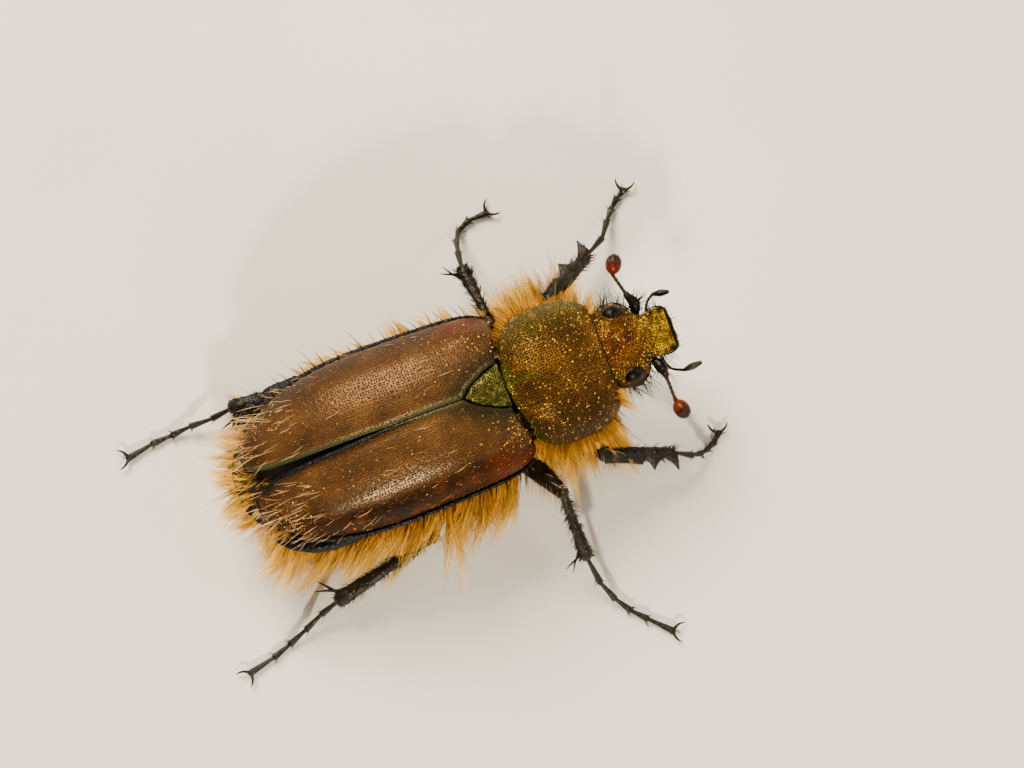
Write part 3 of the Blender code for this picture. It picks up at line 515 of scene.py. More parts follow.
def elytra_chitin():
    """Dark brown wing case: dense round punctures with painted shade in their bottoms, redder to the outer
    side and the shoulder, a green-black seam with painted shade beside the scutellum, and a gloss that the
    punctures break into grains, raised in a painted highlight band with painted shade under it."""
    look = Look("punctured_brown_chitin")
    look.colour = look.mottled(0.9, 4, (0.3, "#33200F"), (0.52, "#4A2D12"), (0.76, "#5E3F1C"))
    outer, painted_highlight_streak = look.zone("outer", 0.35, 0.8), look.zone("painted_highlight_streak", 0.1, 0.9)
    look.lay(look.mottled(0.6, 3, (0.32, "#120602"), (0.52, "#2A1002"), (0.76, "#542606")), outer)
    look.lay("#481802", look.zone("shoulder", 0.1, 0.9))
    # Painted shade: green-black darkening of the wing case beside the scutellum.
    look.lay("#18180A", look.zone("shade", 0.0, 1.0))
    look.lay("#34341A", look.zone("seam", 0.1, 0.7))
    # Painted shade under the painted highlight band on the outer slope.
    look.lay("#241406", painted_highlight_streak)
    look.lay("#0A0704", look.zone("margin", 0.1, 0.6))
    # Painted shade in the bottoms of the punctures.
    holes = look.pits(0.082, 0.38, "#3C2C22")
    dust = look.add("ShaderNodeMapRange", {0: look.patches(0.05, 2), 1: 0.6, 2: 0.7})
    look.lay("#8A6A3C", look.add("ShaderNodeMath", {0: dust, 1: 0.25}, operation="MULTIPLY"))
    level = look.add("ShaderNodeMapRange", {0: outer, 3: 0.4, 4: 0.05})
    metal = look.add("ShaderNodeMapRange", {0: outer, 3: 0.22, 4: 0.06})
    # In the painted highlight band the gloss is raised, the roughness lowered and the bumps made stronger.
    rough, level, waves = (
        look.add("ShaderNodeMath", {0: painted_highlight_streak, 1: change, 2: value}, operation="MULTIPLY_ADD")
        for change, value in ((-0.08, look.uneven(0.3, 0.3, 0.44)), (1.3, level), (0.7, 1.0))
    )
    height = look.add("ShaderNodeMath", {0: look.patches(0.12, 4), 1: waves}, operation="MULTIPLY")
    look.bumps(height, 0.022, 0.7)
    look.bumps(holes, 0.013)
    tint = srgb("#E0B88A")
    return look.finish(Roughness=rough, Metallic=metal, IOR=1.5, Specular_IOR_Level=level, Specular_Tint=tint)


def pronotum_chitin():
    """Bronze shield packed with fine pits, their bottoms painted shade, so that it looks satin, green along
    its edges and middle line, and darkened towards its right side by painted shade.
    """
    look = Look("punctured_bronze_chitin")
    look.colour = look.mottled(0.9, 4, (0.3, "#281A0A"), (0.52, "#4A3010"), (0.76, "#6E4C1C"))
    look.lay(look.mottled(0.4, 3, (0.3, "#2C300A"), (0.7, "#5C5A14")), look.zone("edge", 0.05, 1.0))
    # Painted shade: darker towards the right side, away from the key light.
    look.lay("#160E06", look.zone("painted_shade_right", 0.0, 1.6))
    # Painted shade in the pit bottoms.
    holes = look.pits(0.076, 0.46, "#281F18")
    look.bumps(look.patches(0.12), 0.02, 0.6)
    look.bumps(holes, 0.022)
    rough, tint = look.uneven(0.25, 0.34, 0.5), srgb("#B89050")
    return look.finish(Roughness=rough, Metallic=0.3, IOR=1.45, Specular_IOR_Level=0.25, Specular_Tint=tint)


def head_chitin():
    """Coppery brow and a yellow-green front shield with a ragged border, darker at the cheeks and the rim,
    with painted shade in hollows of the shield and in the pit bottoms.
    """
    look = Look("coppery_head_chitin")
    coppers = [(0.3, "#281409"), (0.5, "#54290D"), (0.62, "#624010"), (0.8, "#8A5C1A")]
    look.colour = look.mottled(0.4, 4, *coppers)
    look.lay(look.mottled(0.3, 4, (0.35, "#1E1604"), (0.7, "#4E3E0A")), look.zone("side", 0.35, 0.8))
    look.lay("#120B04", look.zone("side", 0.84, 0.98))
    ragged = look.add("ShaderNodeMath", {0: look.patches(0.5), 1: 1.4, 2: -0.7}, operation="MULTIPLY_ADD")
    front = {0: look.zone("front", 0.1, 0.95), 1: ragged}
    olives = [(0.32, "#281C04"), (0.46, "#624C0A"), (0.6, "#98780C"), (0.78, "#CCA018")]
    shield = look.add("ShaderNodeMath", front, operation="ADD", use_clamp=True)
    look.lay(look.mottled(0.2, 4, *olives), shield)
    # Dark front rim and brow seam, and painted shade in hollows of the front shield.
    look.lay("#0E0A04", look.zone("rim", 0.15, 0.8))
    # Painted shade in the pit bottoms.
    holes = look.pits(0.074, 0.48, "#32261C")
    look.bumps(look.patches(0.12), 0.02, 0.5)
    look.bumps(holes, 0.014)
    rough, tint = look.uneven(0.2, 0.3, 0.5), srgb("#C8A050")
    return look.finish(Roughness=rough, Metallic=0.3, IOR=1.45, Specular_IOR_Level=0.35, Specular_Tint=tint)


def scutellum_chitin():
    """Small shield of metallic green over bronze."""
    look = Look("metallic_green_chitin")
    greens = [(0.32, "#18180A"), (0.48, "#383A12"), (0.62, "#5A521E"), (0.78, "#A08038")]
    look.colour = look.mottled(0.14, 5, *greens)
    # Painted shade in the pit bottoms.
    look.bumps(look.pits(0.074, 0.5, "#5A503A"), 0.014)
    tint = srgb("#D0BE88")
    return look.finish(Roughness=0.36, Metallic=0.4, IOR=1.45, Specular_IOR_Level=0.25, Specular_Tint=tint)


def black_chitin(name, dark, lit, sheen, rough, metal, pit, level):
    """Near-black cuticle of rims, legs and underside, with a coloured gleam painted in patches into its
    colour, and fine pits with painted shade in their bottoms.
    """
    look = Look(name)
    # The sheen stop is a painted sheen, laid in patches.
    look.colour = look.mottled(0.35, 4, (0.3, dark), (0.6, lit), (0.85, sheen))
    # Painted shade in the pit bottoms.
    grain = look.pits(pit, 0.4, "#807468", False)
    look.bumps(look.patches(0.09), 0.045, 0.9)
    look.bumps(grain, 0.01)
    rough = look.uneven(0.2, rough - 0.06, rough + 0.14)
    return look.finish(Roughness=rough, Metallic=metal, IOR=1.5, Specular_IOR_Level=level)


def eye_facets():
    """Black compound eye under a clear gloss. Its lenses are drawn coarser than real, so that they show."""
    look = Look("faceted_eye")
    where = look.add("ShaderNodeTexCoord", out="Object")
    cells = look.add("ShaderNodeTexVoronoi", {"Vector": where, "Scale": 1 / (0.03 * MM), "Randomness": 0.15})
    look.colour = look.mottled(0.4, 3, (0.35, "#030202"), (0.75, "#160C05"))
    look.bumps(look.add("ShaderNodeMapRange", {0: cells, 1: 0.0, 2: 0.6, 3: 1.0, 4: 0.0}), 0.005, 0.6)
    return look.finish(Roughness=0.32, IOR=1.4, Specular_IOR_Level=0.14)


def antenna_chitin():
    """Amber feeler: nearly black at its root, red-brown along the stalk, orange-red on the slit club."""
    look = Look("amber_antenna_chitin")
    tone = look.add("ShaderNodeAttribute", out="Fac", attribute_name="tone")
    stalk = [(0.0, "#0A0503"), (0.3, "#1E0E05"), (0.45, "#241004"), (0.6, "#2E1404")]
    club = [(0.8, "#2A0C01"), (1.0, "#561A00")]
    look.colour = look.add("ShaderNodeValToRGB", {0: tone}, stops=stalk + club)
    look.dim(look.patches(0.12), 0.7, 1.15)
    look.bumps(look.patches(0.04, 2), 0.008, 0.5)
    reach = (0.3 * MM, 0.1 * MM, 0.05 * MM)
    glow = {"Subsurface_Weight": 0.1, "Subsurface_Radius": reach, "Subsurface_Scale": 1.0}
    return look.finish(Roughness=0.38, IOR=1.45, Specular_IOR_Level=0.2, **glow)


def hair(name, root, middle, tip, rough, sheen, shine="#FFC850"):
    """Hair that goes from a dark root to a bright tip. No two strands have quite the same shade."""
    look = Look(name)
    along = look.add("ShaderNodeAttribute", out="Fac", attribute_name="along")
    strand = look.add("ShaderNodeAttribute", out="Fac", attribute_name="strand")
    drift = look.add("ShaderNodeMath", {0: look.patches(0.5), 1: 0.25, 2: -0.12}, operation="MULTIPLY_ADD")
    reach = look.add("ShaderNodeMath", {0: along, 1: drift}, operation="ADD")
    look.colour = look.add("ShaderNodeValToRGB", {0: reach}, stops=[(0.0, root), (0.28, middle), (0.9, tip)])
    look.dim(strand, 0.42, 1.45)
    colours = {"Specular_Tint": srgb(shine), "Sheen_Tint": srgb("#F2CE7A")}
    return look.finish(Roughness=rough, IOR=1.5, Sheen_Weight=sheen, **colours)


def pollen_grain():
    """Dry yellow-orange pollen, matt, with grains of slightly different yellow."""
    look = Look("dry_pollen")
    look.colour = look.mottled(0.35, 2, (0.3, "#B87200"), (0.5, "#DC9C00"), (0.72, "#F2C41C"))
    look.bumps(look.patches(0.01, 2), 0.004, 0.6)
    return look.finish(Roughness=0.6, IOR=1.45, Sheen_Weight=0.2)


def pale_floor():
    """Plain matt card, a little uneven."""
    look = Look("matt_card")
    look.colour = look.mottled(18.0, 3, (0.3, "#D9D3C6"), (0.7, "#E2DCD0"))
    return look.finish(Roughness=0.8, IOR=1.45)


ELYTRA = elytra_chitin()
PRONOTUM = pronotum_chitin()
HEAD = head_chitin()
SCUTELLUM = scutellum_chitin()
EYE = eye_facets()
ANTENNA = antenna_chitin()
# The last colour of each is a painted sheen: bronze-green on the legs, faint on rims and underside.
RIM = black_chitin("black_rim_chitin", "#010101", "#040302", "#0A0805", 0.26, 0.0, 0.05, 0.16)
LEG = black_chitin("bronze_black_leg_chitin", "#080503", "#1A1408", "#56502A", 0.28, 0.25, 0.07, 0.3)
BODY = black_chitin("dark_body_chitin", "#0A0705", "#1E140A", "#33260F", 0.42, 0.2, 0.09, 0.35)
GOLDEN = hair("golden_coat_hair", "#2A1503", "#C48006", "#FFD04A", 0.3, 0.0)
TAWNY = hair("tawny_wing_hair", "#5A3818", "#B0804E", "#EBCBA4", 0.35, 0.1)
PALE = hair("pale_down_hair", "#4A300E", "#8A6428", "#BE9650", 0.5, 0.2)
DARK = hair("dark_bristle_hair", "#080605", "#140D08", "#281A10", 0.4, 0.0, "#9A8468")
POLLEN = pollen_grain()


# Cuticle


def laid_out(points, middle=0):
    """The surface unrolled in millimetres: the length along each row of points, measured from a column near
    its middle, and the place of the row along the body."""
    steps = np.linalg.norm(np.diff(points, axis=1), axis=-1)
    across = np.concatenate([np.zeros((len(points), 1)), np.cumsum(steps, axis=1)], axis=1)
    across -= across[:, middle : middle + 1]
    steps = np.linalg.norm(np.diff(points[:, middle], axis=0), axis=-1)
    return vectors(across, np.concatenate([[0], np.cumsum(steps)])[:, None], 0)


def closed_rings(ring_at, stations, angles, first_pull, last_pull):
    """Rings at the stations, rounded off at both ends by rings that shrink to a point."""
    rings = [ring_at(y, angles) for y in stations]
    for end, pull in ((0, first_pull), (-1, last_pull)):
        ring, middle = rings[end], rings[end].mean(axis=0)
        caps = []
        for share, depth in ((0.97, 0.5), (0.9, 0.85), (0.7, 1), (0.01, 1)):
            caps.append(middle + (ring - middle) * share + (0, pull * depth, 0))
        rings = caps[::-1] + rings if end == 0 else rings + caps
    return np.array(rings)


def make_skin(name, rings, materials, nodes, attributes=None):
    """A closed skin over rings of points."""
    faces = grid_faces(*rings.shape[:2], True)
    return outward_normals(piece(name, rings, faces, materials, nodes, attributes))


def mirrored(points, sign):
    return np.array(points) * (sign, 1, 1)


def make_elytron(side, sign):
    """One wing case, thickened inwards, with its black outer rim. The right one has a beaded edge along the
    suture, its dark red outer side reaching further in as painted shade and its painted highlight band
    stronger."""
    right = side == "right"
    u, v = np.meshgrid(np.linspace(0, 1, 120) ** 0.9, np.linspace(0, 1, 70), indexing="ij")
    points = elytron_point(sign, u, v)
    x, y = np.abs(points[..., 0]), points[..., 1]
    beside = x - suture_x(elytron_y(u))
    # Where the painted highlight band lies on the outer slope.
    painted_highlight_streak = bump_at(x - 1.56, 0.26) * bulge((y - 2.5) / 2.2, 2) * (0.85 + 0.15 * np.sin(y * 5))
    # Painted shade beside the scutellum.
    shade = np.clip(1.25 * bump_at(beside, 0.52) * rise(y, 0.6, -1 / 1.2), 0, 1)
    margin = 0.035 + 0.06 * u**2
    attributes = {
        # On the right case the outer red reaches further in: painted shade on the side away from the key
        # light.
        "outer": np.maximum(v * (1.3 if right else 1), 0.62 * rise(u, 0.8, 0.14)),
        "seam": bump_at(beside, 0.15) * rise(y, -0.5, 0.5) * (rise(y, 1.8, -1) if right else 1),
        # Painted shade beside the scutellum, and a thin dark line along the suture's edge.
        "shade": shade + bump_at(beside, 0.025),
        "margin": rise(1 - v, margin, -margin),
        # The painted highlight band is weak on the left case.
        "painted_highlight_streak": (1 if right else 0.25) * painted_highlight_streak,
        "shoulder": bump_at(np.hypot((x - 2.2) / 0.5, (y + 0.9) / 0.8), 1),
        "laid_out": laid_out(points),
    }
    name, faces = f"elytron_{side}", grid_faces(*u.shape)[:, :: -1 if right else 1]
    obj = piece(name, points, faces, [ELYTRA, BODY], [name], attributes)
    thicken(obj, ELYTRON_WALL, use_even_offset=True, material_offset=1, material_offset_rim=1)
    rims = Shape()
    edge = elytron_point(sign, np.linspace(0.02, 1, 60), 1.0) + (sign * 0.05, 0, -0.02)
    radii = np.interp(np.linspace(0, 1, 20), [0, 0.15, 0.9, 1], [0.05, 0.08, 0.1, 0.02])
    edge, radii = resample(edge[::3], radii, 200)
    rims.tube(edge, radii * (1 + 0.06 * np.sin(np.arange(200) * 2.1)), lumps=0.07)
    if right:
        seam = elytron_point(sign, np.linspace(0.36, 0.97, 160), 0.0) + (-0.045, 0, 0.005)
        rims.tube(seam, np.interp(np.linspace(0, 1, 160), [0, 0.3, 1], [0.005, 0.062, 0.05]), lumps=0.16)
    end = elytron_point(sign, 1.0, np.linspace(1, 0, 16))
    rims.tube(end - (0, 0, 0.04), np.full(16, 0.055), 8)
    rims.make(f"{name}_rim", RIM)


def make_prothorax():
    """Pronotum and prosternum in one skin, with a dark line along its front edge."""
    stations = (1 - np.cos(np.linspace(0, 1, 70) * math.pi)) / 2
    stations = PRONOTUM_REAR_Y + (PRONOTUM_FRONT_Y - PRONOTUM_REAR_Y) * stations
    rings = closed_rings(pronotum_ring, stations, around(140, -math.pi / 2), 0.05, -0.06)
    x, y, z = np.moveaxis(rings, -1, 0)
    width = np.maximum(pronotum_half_width(np.clip(y, PRONOTUM_FRONT_Y, PRONOTUM_REAR_Y)), 0.5)
    greens = [
        np.clip(np.abs(x) / width * 1.5 - 0.6, 0, 1) * np.clip((x + 1.9) / 2.6, 0.15, 1),
        0.4 * rise(x, 0, 1.4),
        0.7 * bump_at(x, 0.12) * rise(z, 4, 0.5) * np.clip(y + 3.3, 0.25, 1),
        0.8 * bump_at(y - pronotum_rear_y(x), 0.25),
    ]
    attributes = {
        "edge": np.maximum.reduce(greens),
        # Painted shade that deepens towards the right side.
        "painted_shade_right": rise(x, 0, -2.2),
        "laid_out": laid_out(rings, 70),
    }
    materials = [PRONOTUM, BODY]
    obj = make_skin("pronotum_shield", rings, materials, ["prothorax"], attributes)
    heights = np.array([face.center.z for face in obj.data.polygons]) / MM
    obj.data.polygons.foreach_set("material_index", (heights < MARGIN_Z - 0.12).astype(np.int32))
    rims = Shape()
    front = pronotum_ring(PRONOTUM_FRONT_Y, np.linspace(0.12, math.pi - 0.12, 50))
    rims.tube(front, np.full(50, 0.016), 8, up=(0, 1, 0))
    rims.make("pronotum_rim", RIM)


def make_body():
    """Thorax and abdomen as one dark skin under the coat, with the folded edges of the belly."""
    stations = BODY_FRONT_Y + (ABDOMEN_END_Y - BODY_FRONT_Y) * np.linspace(0, 1, 118) ** 0.95
    rings = closed_rings(body_point, stations, around(96), -0.1, 0.03)
    make_skin("body_skin", rings, [BODY], ["thorax", "abdomen"])
    edges = Shape()
    fold = [(2.27, 3.1, 2.82), (2.35, 4.1, 2.8), (2.27, 4.9, 2.76), (2.04, 5.6, 2.68), (1.72, 6.15, 2.58)]
    for sign in SIDES.values():
        path, radii = resample(mirrored(fold, sign), [0.05, 0.18, 0.22, 0.18, 0.04], 60)
        folds = 1 + 0.1 * np.abs(np.sin(np.linspace(0, 5 * math.pi, 60)))
        edges.tube(path, radii * folds, 18, flatten=0.55, lumps=0.09)
    edges.make("belly_edges", RIM)


def make_head():
    """Head capsule with its front shield, the dark edges of shield and cheeks, and the jaws below."""
    stations = np.linspace(HEAD_FRONT_Y, HEAD_REAR_Y, 110)
    rings = closed_rings(head_point, stations, around(144, -math.pi / 2), -0.03, 0.1)
    x, y = rings[..., 0], rings[..., 1]
    darks = [
        rise(y, -6.48, -0.08),
        0.35 * bump_at(y - BROW_SEAM_Y, 0.05),
        # This mark and the next are painted shade in hollows of the front shield.
        0.75 * bump_at(np.hypot((np.abs(x) - 0.56) / 0.16, (y + 6.4) / 0.13), 1),
        0.8 * bump_at(np.hypot((x - 0.58) / 0.12, (y + 6.1) / 0.26), 1),
    ]
    attributes = {
        "front": rise(y, -5.35, -0.85),
        "side": np.abs(x) / head_half_width(y),
        "rim": np.maximum.reduce(darks),
        "laid_out": laid_out(rings, 72),
    }
    make_skin("head_capsule", rings, [HEAD], ["head"], attributes)
    rims = Shape()
    half = [(0.68, -6.1, 3.55), (0.7, -6.32, 3.5), (0.6, -6.53, 3.5)]
    edge = [*mirrored(half, -1), (0, -6.61, 3.51), *half[::-1]]
    rims.limb(edge, [0.014, 0.024, 0.034, 0.022, 0.034, 0.022, 0.012], 50, 8)
    cheek = [(0.66, -5.72, 3.6), (0.9, -5.6, 3.58), (1.1, -5.44, 3.52), (1.24, -5.2, 3.44)]
    cheek.append((1.23, -4.95, 3.38))
    jaw = [(0.4, -6.0, 2.98), (0.46, -6.36, 2.9), (0.3, -6.58, 2.9), (0.08, -6.64, 2.9)]
    for sign in SIDES.values():
        rims.limb(mirrored(cheek, sign), [0.02, 0.022, 0.026, 0.022, 0.012], 24, 8, lumps=0.1)
        rims.limb(mirrored(jaw, sign), [0.16, 0.15, 0.09, 0.03], 14, 10)
    rims.ball((0, -6.4, 2.98), (0.32, 0.24, 0.12))
    rims.make("head_rims_and_jaws", RIM)


def make_eye(side, sign):
    ball = Shape()
    ball.ball(mirrored(EYE_CENTRE, sign), EYE_RADII, rings=28, sides=44)
    ball.make(f"eye_{side}", EYE, [f"eye_{side}"])


def make_scutellum():
    """Rounded triangle between the wing cases, slightly domed."""
    u, v = np.meshgrid(np.linspace(0, 1, 26), np.linspace(-1, 1, 25), indexing="ij")
    y = SCUTELLUM_FRONT_Y - 0.25 + 1.16 * u
    x = np.maximum(suture_x(y) - 0.035, 0.02) * bulge(rise(u, 0.75, 0.27), 2) * v
    points = vectors(x, y, elytra_top(y) + 0.03 - 0.1 * v**2 - 0.48 * np.clip(u - 0.85, 0, 1))
    attributes = {"laid_out": laid_out(points, 12)}
    faces = grid_faces(*u.shape)
    obj = piece("scutellum", points, faces, [SCUTELLUM], ["scutellum"], attributes)
    if obj.data.polygons[len(faces) // 2].normal.z < 0:
        obj.data.flip_normals()
    thicken(obj, SCUTELLUM_WALL)


# Antennae, palps and legs

# Of each antenna: root, thickest place of the scape, elbow, neck, club, and the way that the club points.
ANTENNAE = {
    "left": [
        (0.6, -5.7, 3.38), (0.98, -5.82, 3.44), (1.3, -5.7, 3.52),
        (1.96, -5.53, 3.62), (2.24, -5.66, 3.66), (0.86, -0.46, 0.22),
    ],
    "right": [
        (-0.6, -5.74, 3.38), (-1.0, -5.9, 3.44), (-1.24, -5.94, 3.5),
        (-1.96, -5.94, 3.56), (-2.32, -6.02, 3.58), (-0.95, -0.24, 0.2),
    ],
}
PALPS = {
    "left": [(0.5, -5.98, 2.9), (0.96, -6.2, 2.78), (1.12, -6.42, 2.82), (1.02, -6.86, 2.94)],
    "right": [(-0.5, -5.98, 2.9), (-1.04, -6.16, 2.78), (-1.24, -6.5, 2.82), (-1.22, -7.02, 2.94)],
}
# Of each leg: the turn of its claws in degrees, then hip, knee, ankle and the ends of its five foot joints.
LEGS = {
    "front_left": (
        75,
        [(0.60, -3.35, 1.95), (2.15, -3.62, 2.12), (3.07, -5.20, 1.10), (3.40, -5.72, 0.66)],
        [(3.85, -6.03, 0.36), (4.17, -6.29, FOOT_Z), (4.40, -6.54, FOOT_Z), (4.57, -6.84, FOOT_Z)],
    ),
    "front_right": (
        75,
        [(-0.60, -3.35, 1.95), (-2.72, -3.52, 2.1), (-3.30, -5.50, 1.25), (-3.50, -5.94, 0.80)],
        [(-3.52, -6.22, 0.42), (-3.44, -6.46, FOOT_Z), (-3.34, -6.68, FOOT_Z), (-3.10, -6.92, FOOT_Z)],
    ),
    "mid_left": (
        60,
        [(0.85, -0.75, 1.66), (2.05, -1.80, 2.25), (3.85, -1.56, 1.80), (4.45, -1.62, 1.22)],
        [(4.85, -1.70, 0.66), (5.17, -1.88, FOOT_Z), (5.33, -2.25, FOOT_Z), (5.35, -2.85, FOOT_Z)],
    ),
    "mid_right": (
        45,
        [(-0.85, -0.75, 1.66), (-3.32, -2.02, 2.5), (-5.18, -2.00, 1.10), (-6.02, -2.12, 0.56)],
        [(-6.60, -2.36, 0.27), (-7.08, -2.67, FOOT_Z), (-7.48, -3.05, FOOT_Z), (-8.09, -3.64, FOOT_Z)],
    ),
    "hind_left": (
        -50,
        [(0.80, 0.55, 1.65), (2.20, 2.90, 1.75), (2.51, 6.12, 1.05), (2.46, 6.82, 0.66)],
        [(2.50, 7.52, 0.36), (2.47, 8.14, FOOT_Z), (2.44, 8.76, FOOT_Z), (2.28, 9.60, FOOT_Z)],
    ),
    "hind_right": (
        35,
        [(-0.80, 0.55, 1.62), (-3.18, 2.02, 1.95), (-3.84, 5.15, 1.05), (-4.03, 5.81, 0.66)],
        [(-4.27, 6.40, 0.36), (-4.50, 7.01, FOOT_Z), (-4.69, 7.57, FOOT_Z), (-4.89, 8.41, FOOT_Z)],
    ),
}
# Where on its shin each pair of legs starts to lie free on the coat, as a share of the shin's length.
FREE_FROM = {"front": -0.22, "mid": 0.0, "hind": 0.1}
SHIN_WIDTH = {"front": 0.29, "mid": 0.2, "hind": 0.23}
# Paths, half widths and kinds of the leg parts that carry bristles and pollen.
bristle_sites = []


def make_antenna(side):
    """Bristly scape, a thin jointed stalk and a round club of three leaves whose edges show as dark slits."""
    root, swell, elbow, neck, club, heading = np.array(ANTENNAE[side])
    shape = Shape()
    shape.limb([root, swell, elbow], [0.08, 0.17, 0.09], 18, 16, lumps=0.07)
    shape.ball(elbow, (0.1, 0.1, 0.1), tone=0.25)
    for k in range(5):
        start, stop = elbow + (neck - elbow) * (k + 0.1) / 5, elbow + (neck - elbow) * (k + 1) / 5
        shape.limb([start, (start + stop) / 2, stop], [0.042, 0.05, 0.056], 8, 12, tone=0.5 + 0.02 * k)
    along = unit(heading)
    across = unit(np.cross(along, (0, 0, 1)))
    turned = np.stack([across, np.cross(along, across), along])
    points = sphere(40, 48, 0.03) * (1, 1, -1)
    leaf = points[..., 0] * 0.9 + 0.12
    slit = sum(bump_at(leaf - at, 0.045) for at in (-0.3, 0.32)) * np.clip(points[..., 2] * 1.4 + 0.55, 0, 1)
    points = points * (1 - 0.13 * slit[..., None]) * (0.235, 0.245, 0.3)
    tone = np.clip(1 - 0.35 * rise(points[..., 2], 0, 0.12) - 0.85 * slit, 0, 1)
    shape.grid(points @ turned + club, tone)
    shape.tube([neck, club - along * 0.22], [0.06, 0.09], tone=0.6)
    shape.make(f"antenna_{side}", ANTENNA, [f"antenna_{side}"])


def make_palp(side):
    stops = np.array(PALPS[side])
    shape = Shape()
    shape.limb(stops[:3], [0.06, 0.04, 0.045], 14, 10)
    shape.limb([stops[2], (stops[2] + stops[3]) / 2, stops[3]], [0.05, 0.105, 0.06], 12, 12)
    shape.make(f"palp_{side}", LEG, [f"palp_{side}"])


def free_limbs():
    """The stretches of limb that lie free on the coat: part of thigh and shin, and the first foot joint."""
    found = []
    for name, (_, limb, _) in LEGS.items():
        pair = name.split("_")[0]
        hip, knee, ankle, toe = np.array(limb)
        start = knee + (ankle - knee) * FREE_FROM[pair]
        start[2] = min(start[2], knee[2])
        found += [(start, ankle), (ankle, toe)]
        if pair == "mid":
            found.append((hip * 0.6 + knee * 0.4, knee))
        if pair == "front":
            flat = unit(ankle - knee) * (1, 1, 0)
            beside = np.array([-flat[1], flat[0], 0]) * np.sign(-flat[1] * knee[0]) * 0.4
            found += [(knee * 0.7 + ankle * 0.3 + beside, ankle + beside), (hip * 0.2 + knee * 0.8, knee)]
        if pair == "hind":
            found.append((ankle - (0, 0.26, 0), ankle + (-0.4 * np.sign(ankle[0]), 0.5, -0.1)))
    return found


def shin_blade(shape, knee, ankle, outward, reach):
    """Flat front shin: two sharp outer teeth and a blunt one, with round hollows between them. reach sets how
    far apart the teeth look."""
    back, length = unit(knee - ankle), np.linalg.norm(knee - ankle)
    over = unit(np.cross(back, outward))
    places = np.array([-0.05, 0.98 * reach, 1.5 * reach, length])
    heights, hollows = np.array([0.52, 0.5, 0.3, 0.22]), np.array([0.35, 0.18, 0.03])
    at = np.unique(np.concatenate([np.linspace(places[0], length, 80), places]))
    k = np.clip(np.searchsorted(places, at, side="right") - 1, 0, 2)
    share = rise(at, places[k], places[k + 1] - places[k])
    dip = np.sin(math.pi * share**1.2) ** 0.8
    outer = heights[k] * (1 - share) + heights[k + 1] * share - hollows[k] * dip
    inner = np.interp(at, [-0.05, 0.0, 0.2, 0.7, 1.3, length], [0.46, -0.06, -0.18, -0.21, -0.24, -0.2])
    turn = around(32)
    across = (outer + inner)[:, None] / 2 + (outer - inner)[:, None] / 2 * np.cos(turn)
    thick = 0.15 * (1 - 0.78 * rise(across, 0.1, 0.4))
    height = thick * np.sign(np.sin(turn)) * np.abs(np.sin(turn)) ** 0.95
    points = ankle + at[:, None, None] * back + across[..., None] * outward + height[..., None] * over
    ends = [points[k].mean(axis=0) + (points[k] - points[k].mean(axis=0)) * 0.02 for k in (0, -1)]
    shape.grid(np.concatenate([ends[0][None], points, ends[1][None]]))


def make_leg(name):
    """One leg: spindle-shaped femur, ridged tibia with spurs or teeth, five foot joints and hooked claws."""
    pair, side = name.split("_")
    spread, limb, foot = LEGS[name]
    stops = np.array(limb + foot)
    root, knee, ankle = stops[:3]
    along = unit(ankle - knee)
    flat = unit(along * (1, 1, 0))
    beside = np.array([-flat[1], flat[0], 0])
    shape = Shape()
    shape.ball(root, (0.42, 0.36, 0.36))
    thigh = shape.limb([root, root * 0.6 + knee * 0.4, knee], [0.22, 0.36, 0.2], 30, 20, flatten=0.72)
    bristle_sites.append((*thigh, "thigh"))
    start, width = knee - along * 0.12, SHIN_WIDTH[pair]
    shin = [start, start * 0.6 + ankle * 0.4, start * 0.06 + ankle * 0.94, ankle]
    path, radii = resample(shin, [0.12, width * 0.62, width, width * 0.94], 64)
    if pair == "front":
        outward = beside * np.sign(beside[0] * SIDES[side])
        shin_blade(shape, knee, ankle, outward, 1.0 if side == "left" else 0.72)
        bristle_sites.append((path, radii * 0.6, "shin"))
    else:
        ridge = 1 + 0.09 * np.maximum(np.sin(np.linspace(0, 11 * math.pi, 64)), 0)
        shape.tube(path, radii * ridge, 20, flatten=0.8, lumps=0.045)
        bristle_sites.append((path[-5:], radii[-5:] * 0.95, "crown"))
        bristle_sites.append((path, radii * 0.9, "shin"))
    stops = [stop - (0, 0, 0.03 if stop[2] > FOOT_Z else 0.055) for stop in stops[2:]]
    for a, b in zip(stops, stops[1:]):
        mids = [a + (b - a) * share for share in (-0.08, 0.3, 0.84, 0.97)]
        path, radii = shape.limb(mids, [0.055, 0.068, 0.1, 0.098], 12, 14)
        bristle_sites.append((path[8:], radii[8:], "toe"))
    heading = unit(stops[-1] - stops[-2])
    for way in (-1, 1):
        hook = [stops[-1] - heading * 0.05]
        for swing, rising in ((62, 0.05), (52, 0.03), (34, -0.03), (14, -0.08)):
            turn = math.radians(spread * 0.4 + way * swing)
            cos, sin = math.cos(turn), math.sin(turn)
            step = np.array([heading[0] * cos - heading[1] * sin, heading[0] * sin + heading[1] * cos, 0])
            hook.append(hook[-1] + step * 0.115 + (0, 0, rising))
        shape.limb(hook, [0.05, 0.045, 0.036, 0.026, 0.008], 20, 10)
    if pair != "front":
        inward = beside * (1 if beside[1] > 0 else -1)
        long, thick = (0.78, 0.7) if pair == "mid" else (1, 1)
        for lean, length, back in ((0.4, 0.85, 0.26), (0.7, 0.75, 0.1)):
            base = ankle - along * back + inward * 0.14
            tip = base + unit(along * (1.1 - lean) + inward * lean + (0, 0, 0.3)) * length * long
            middle = (base + tip) / 2 + inward * 0.03
            shape.limb([base, middle, tip], [0.052 * thick, 0.042 * thick, 0.01], 14, 8)
    shape.make(f"leg_{name}", LEG, [f"leg_{name}"])


# Hair

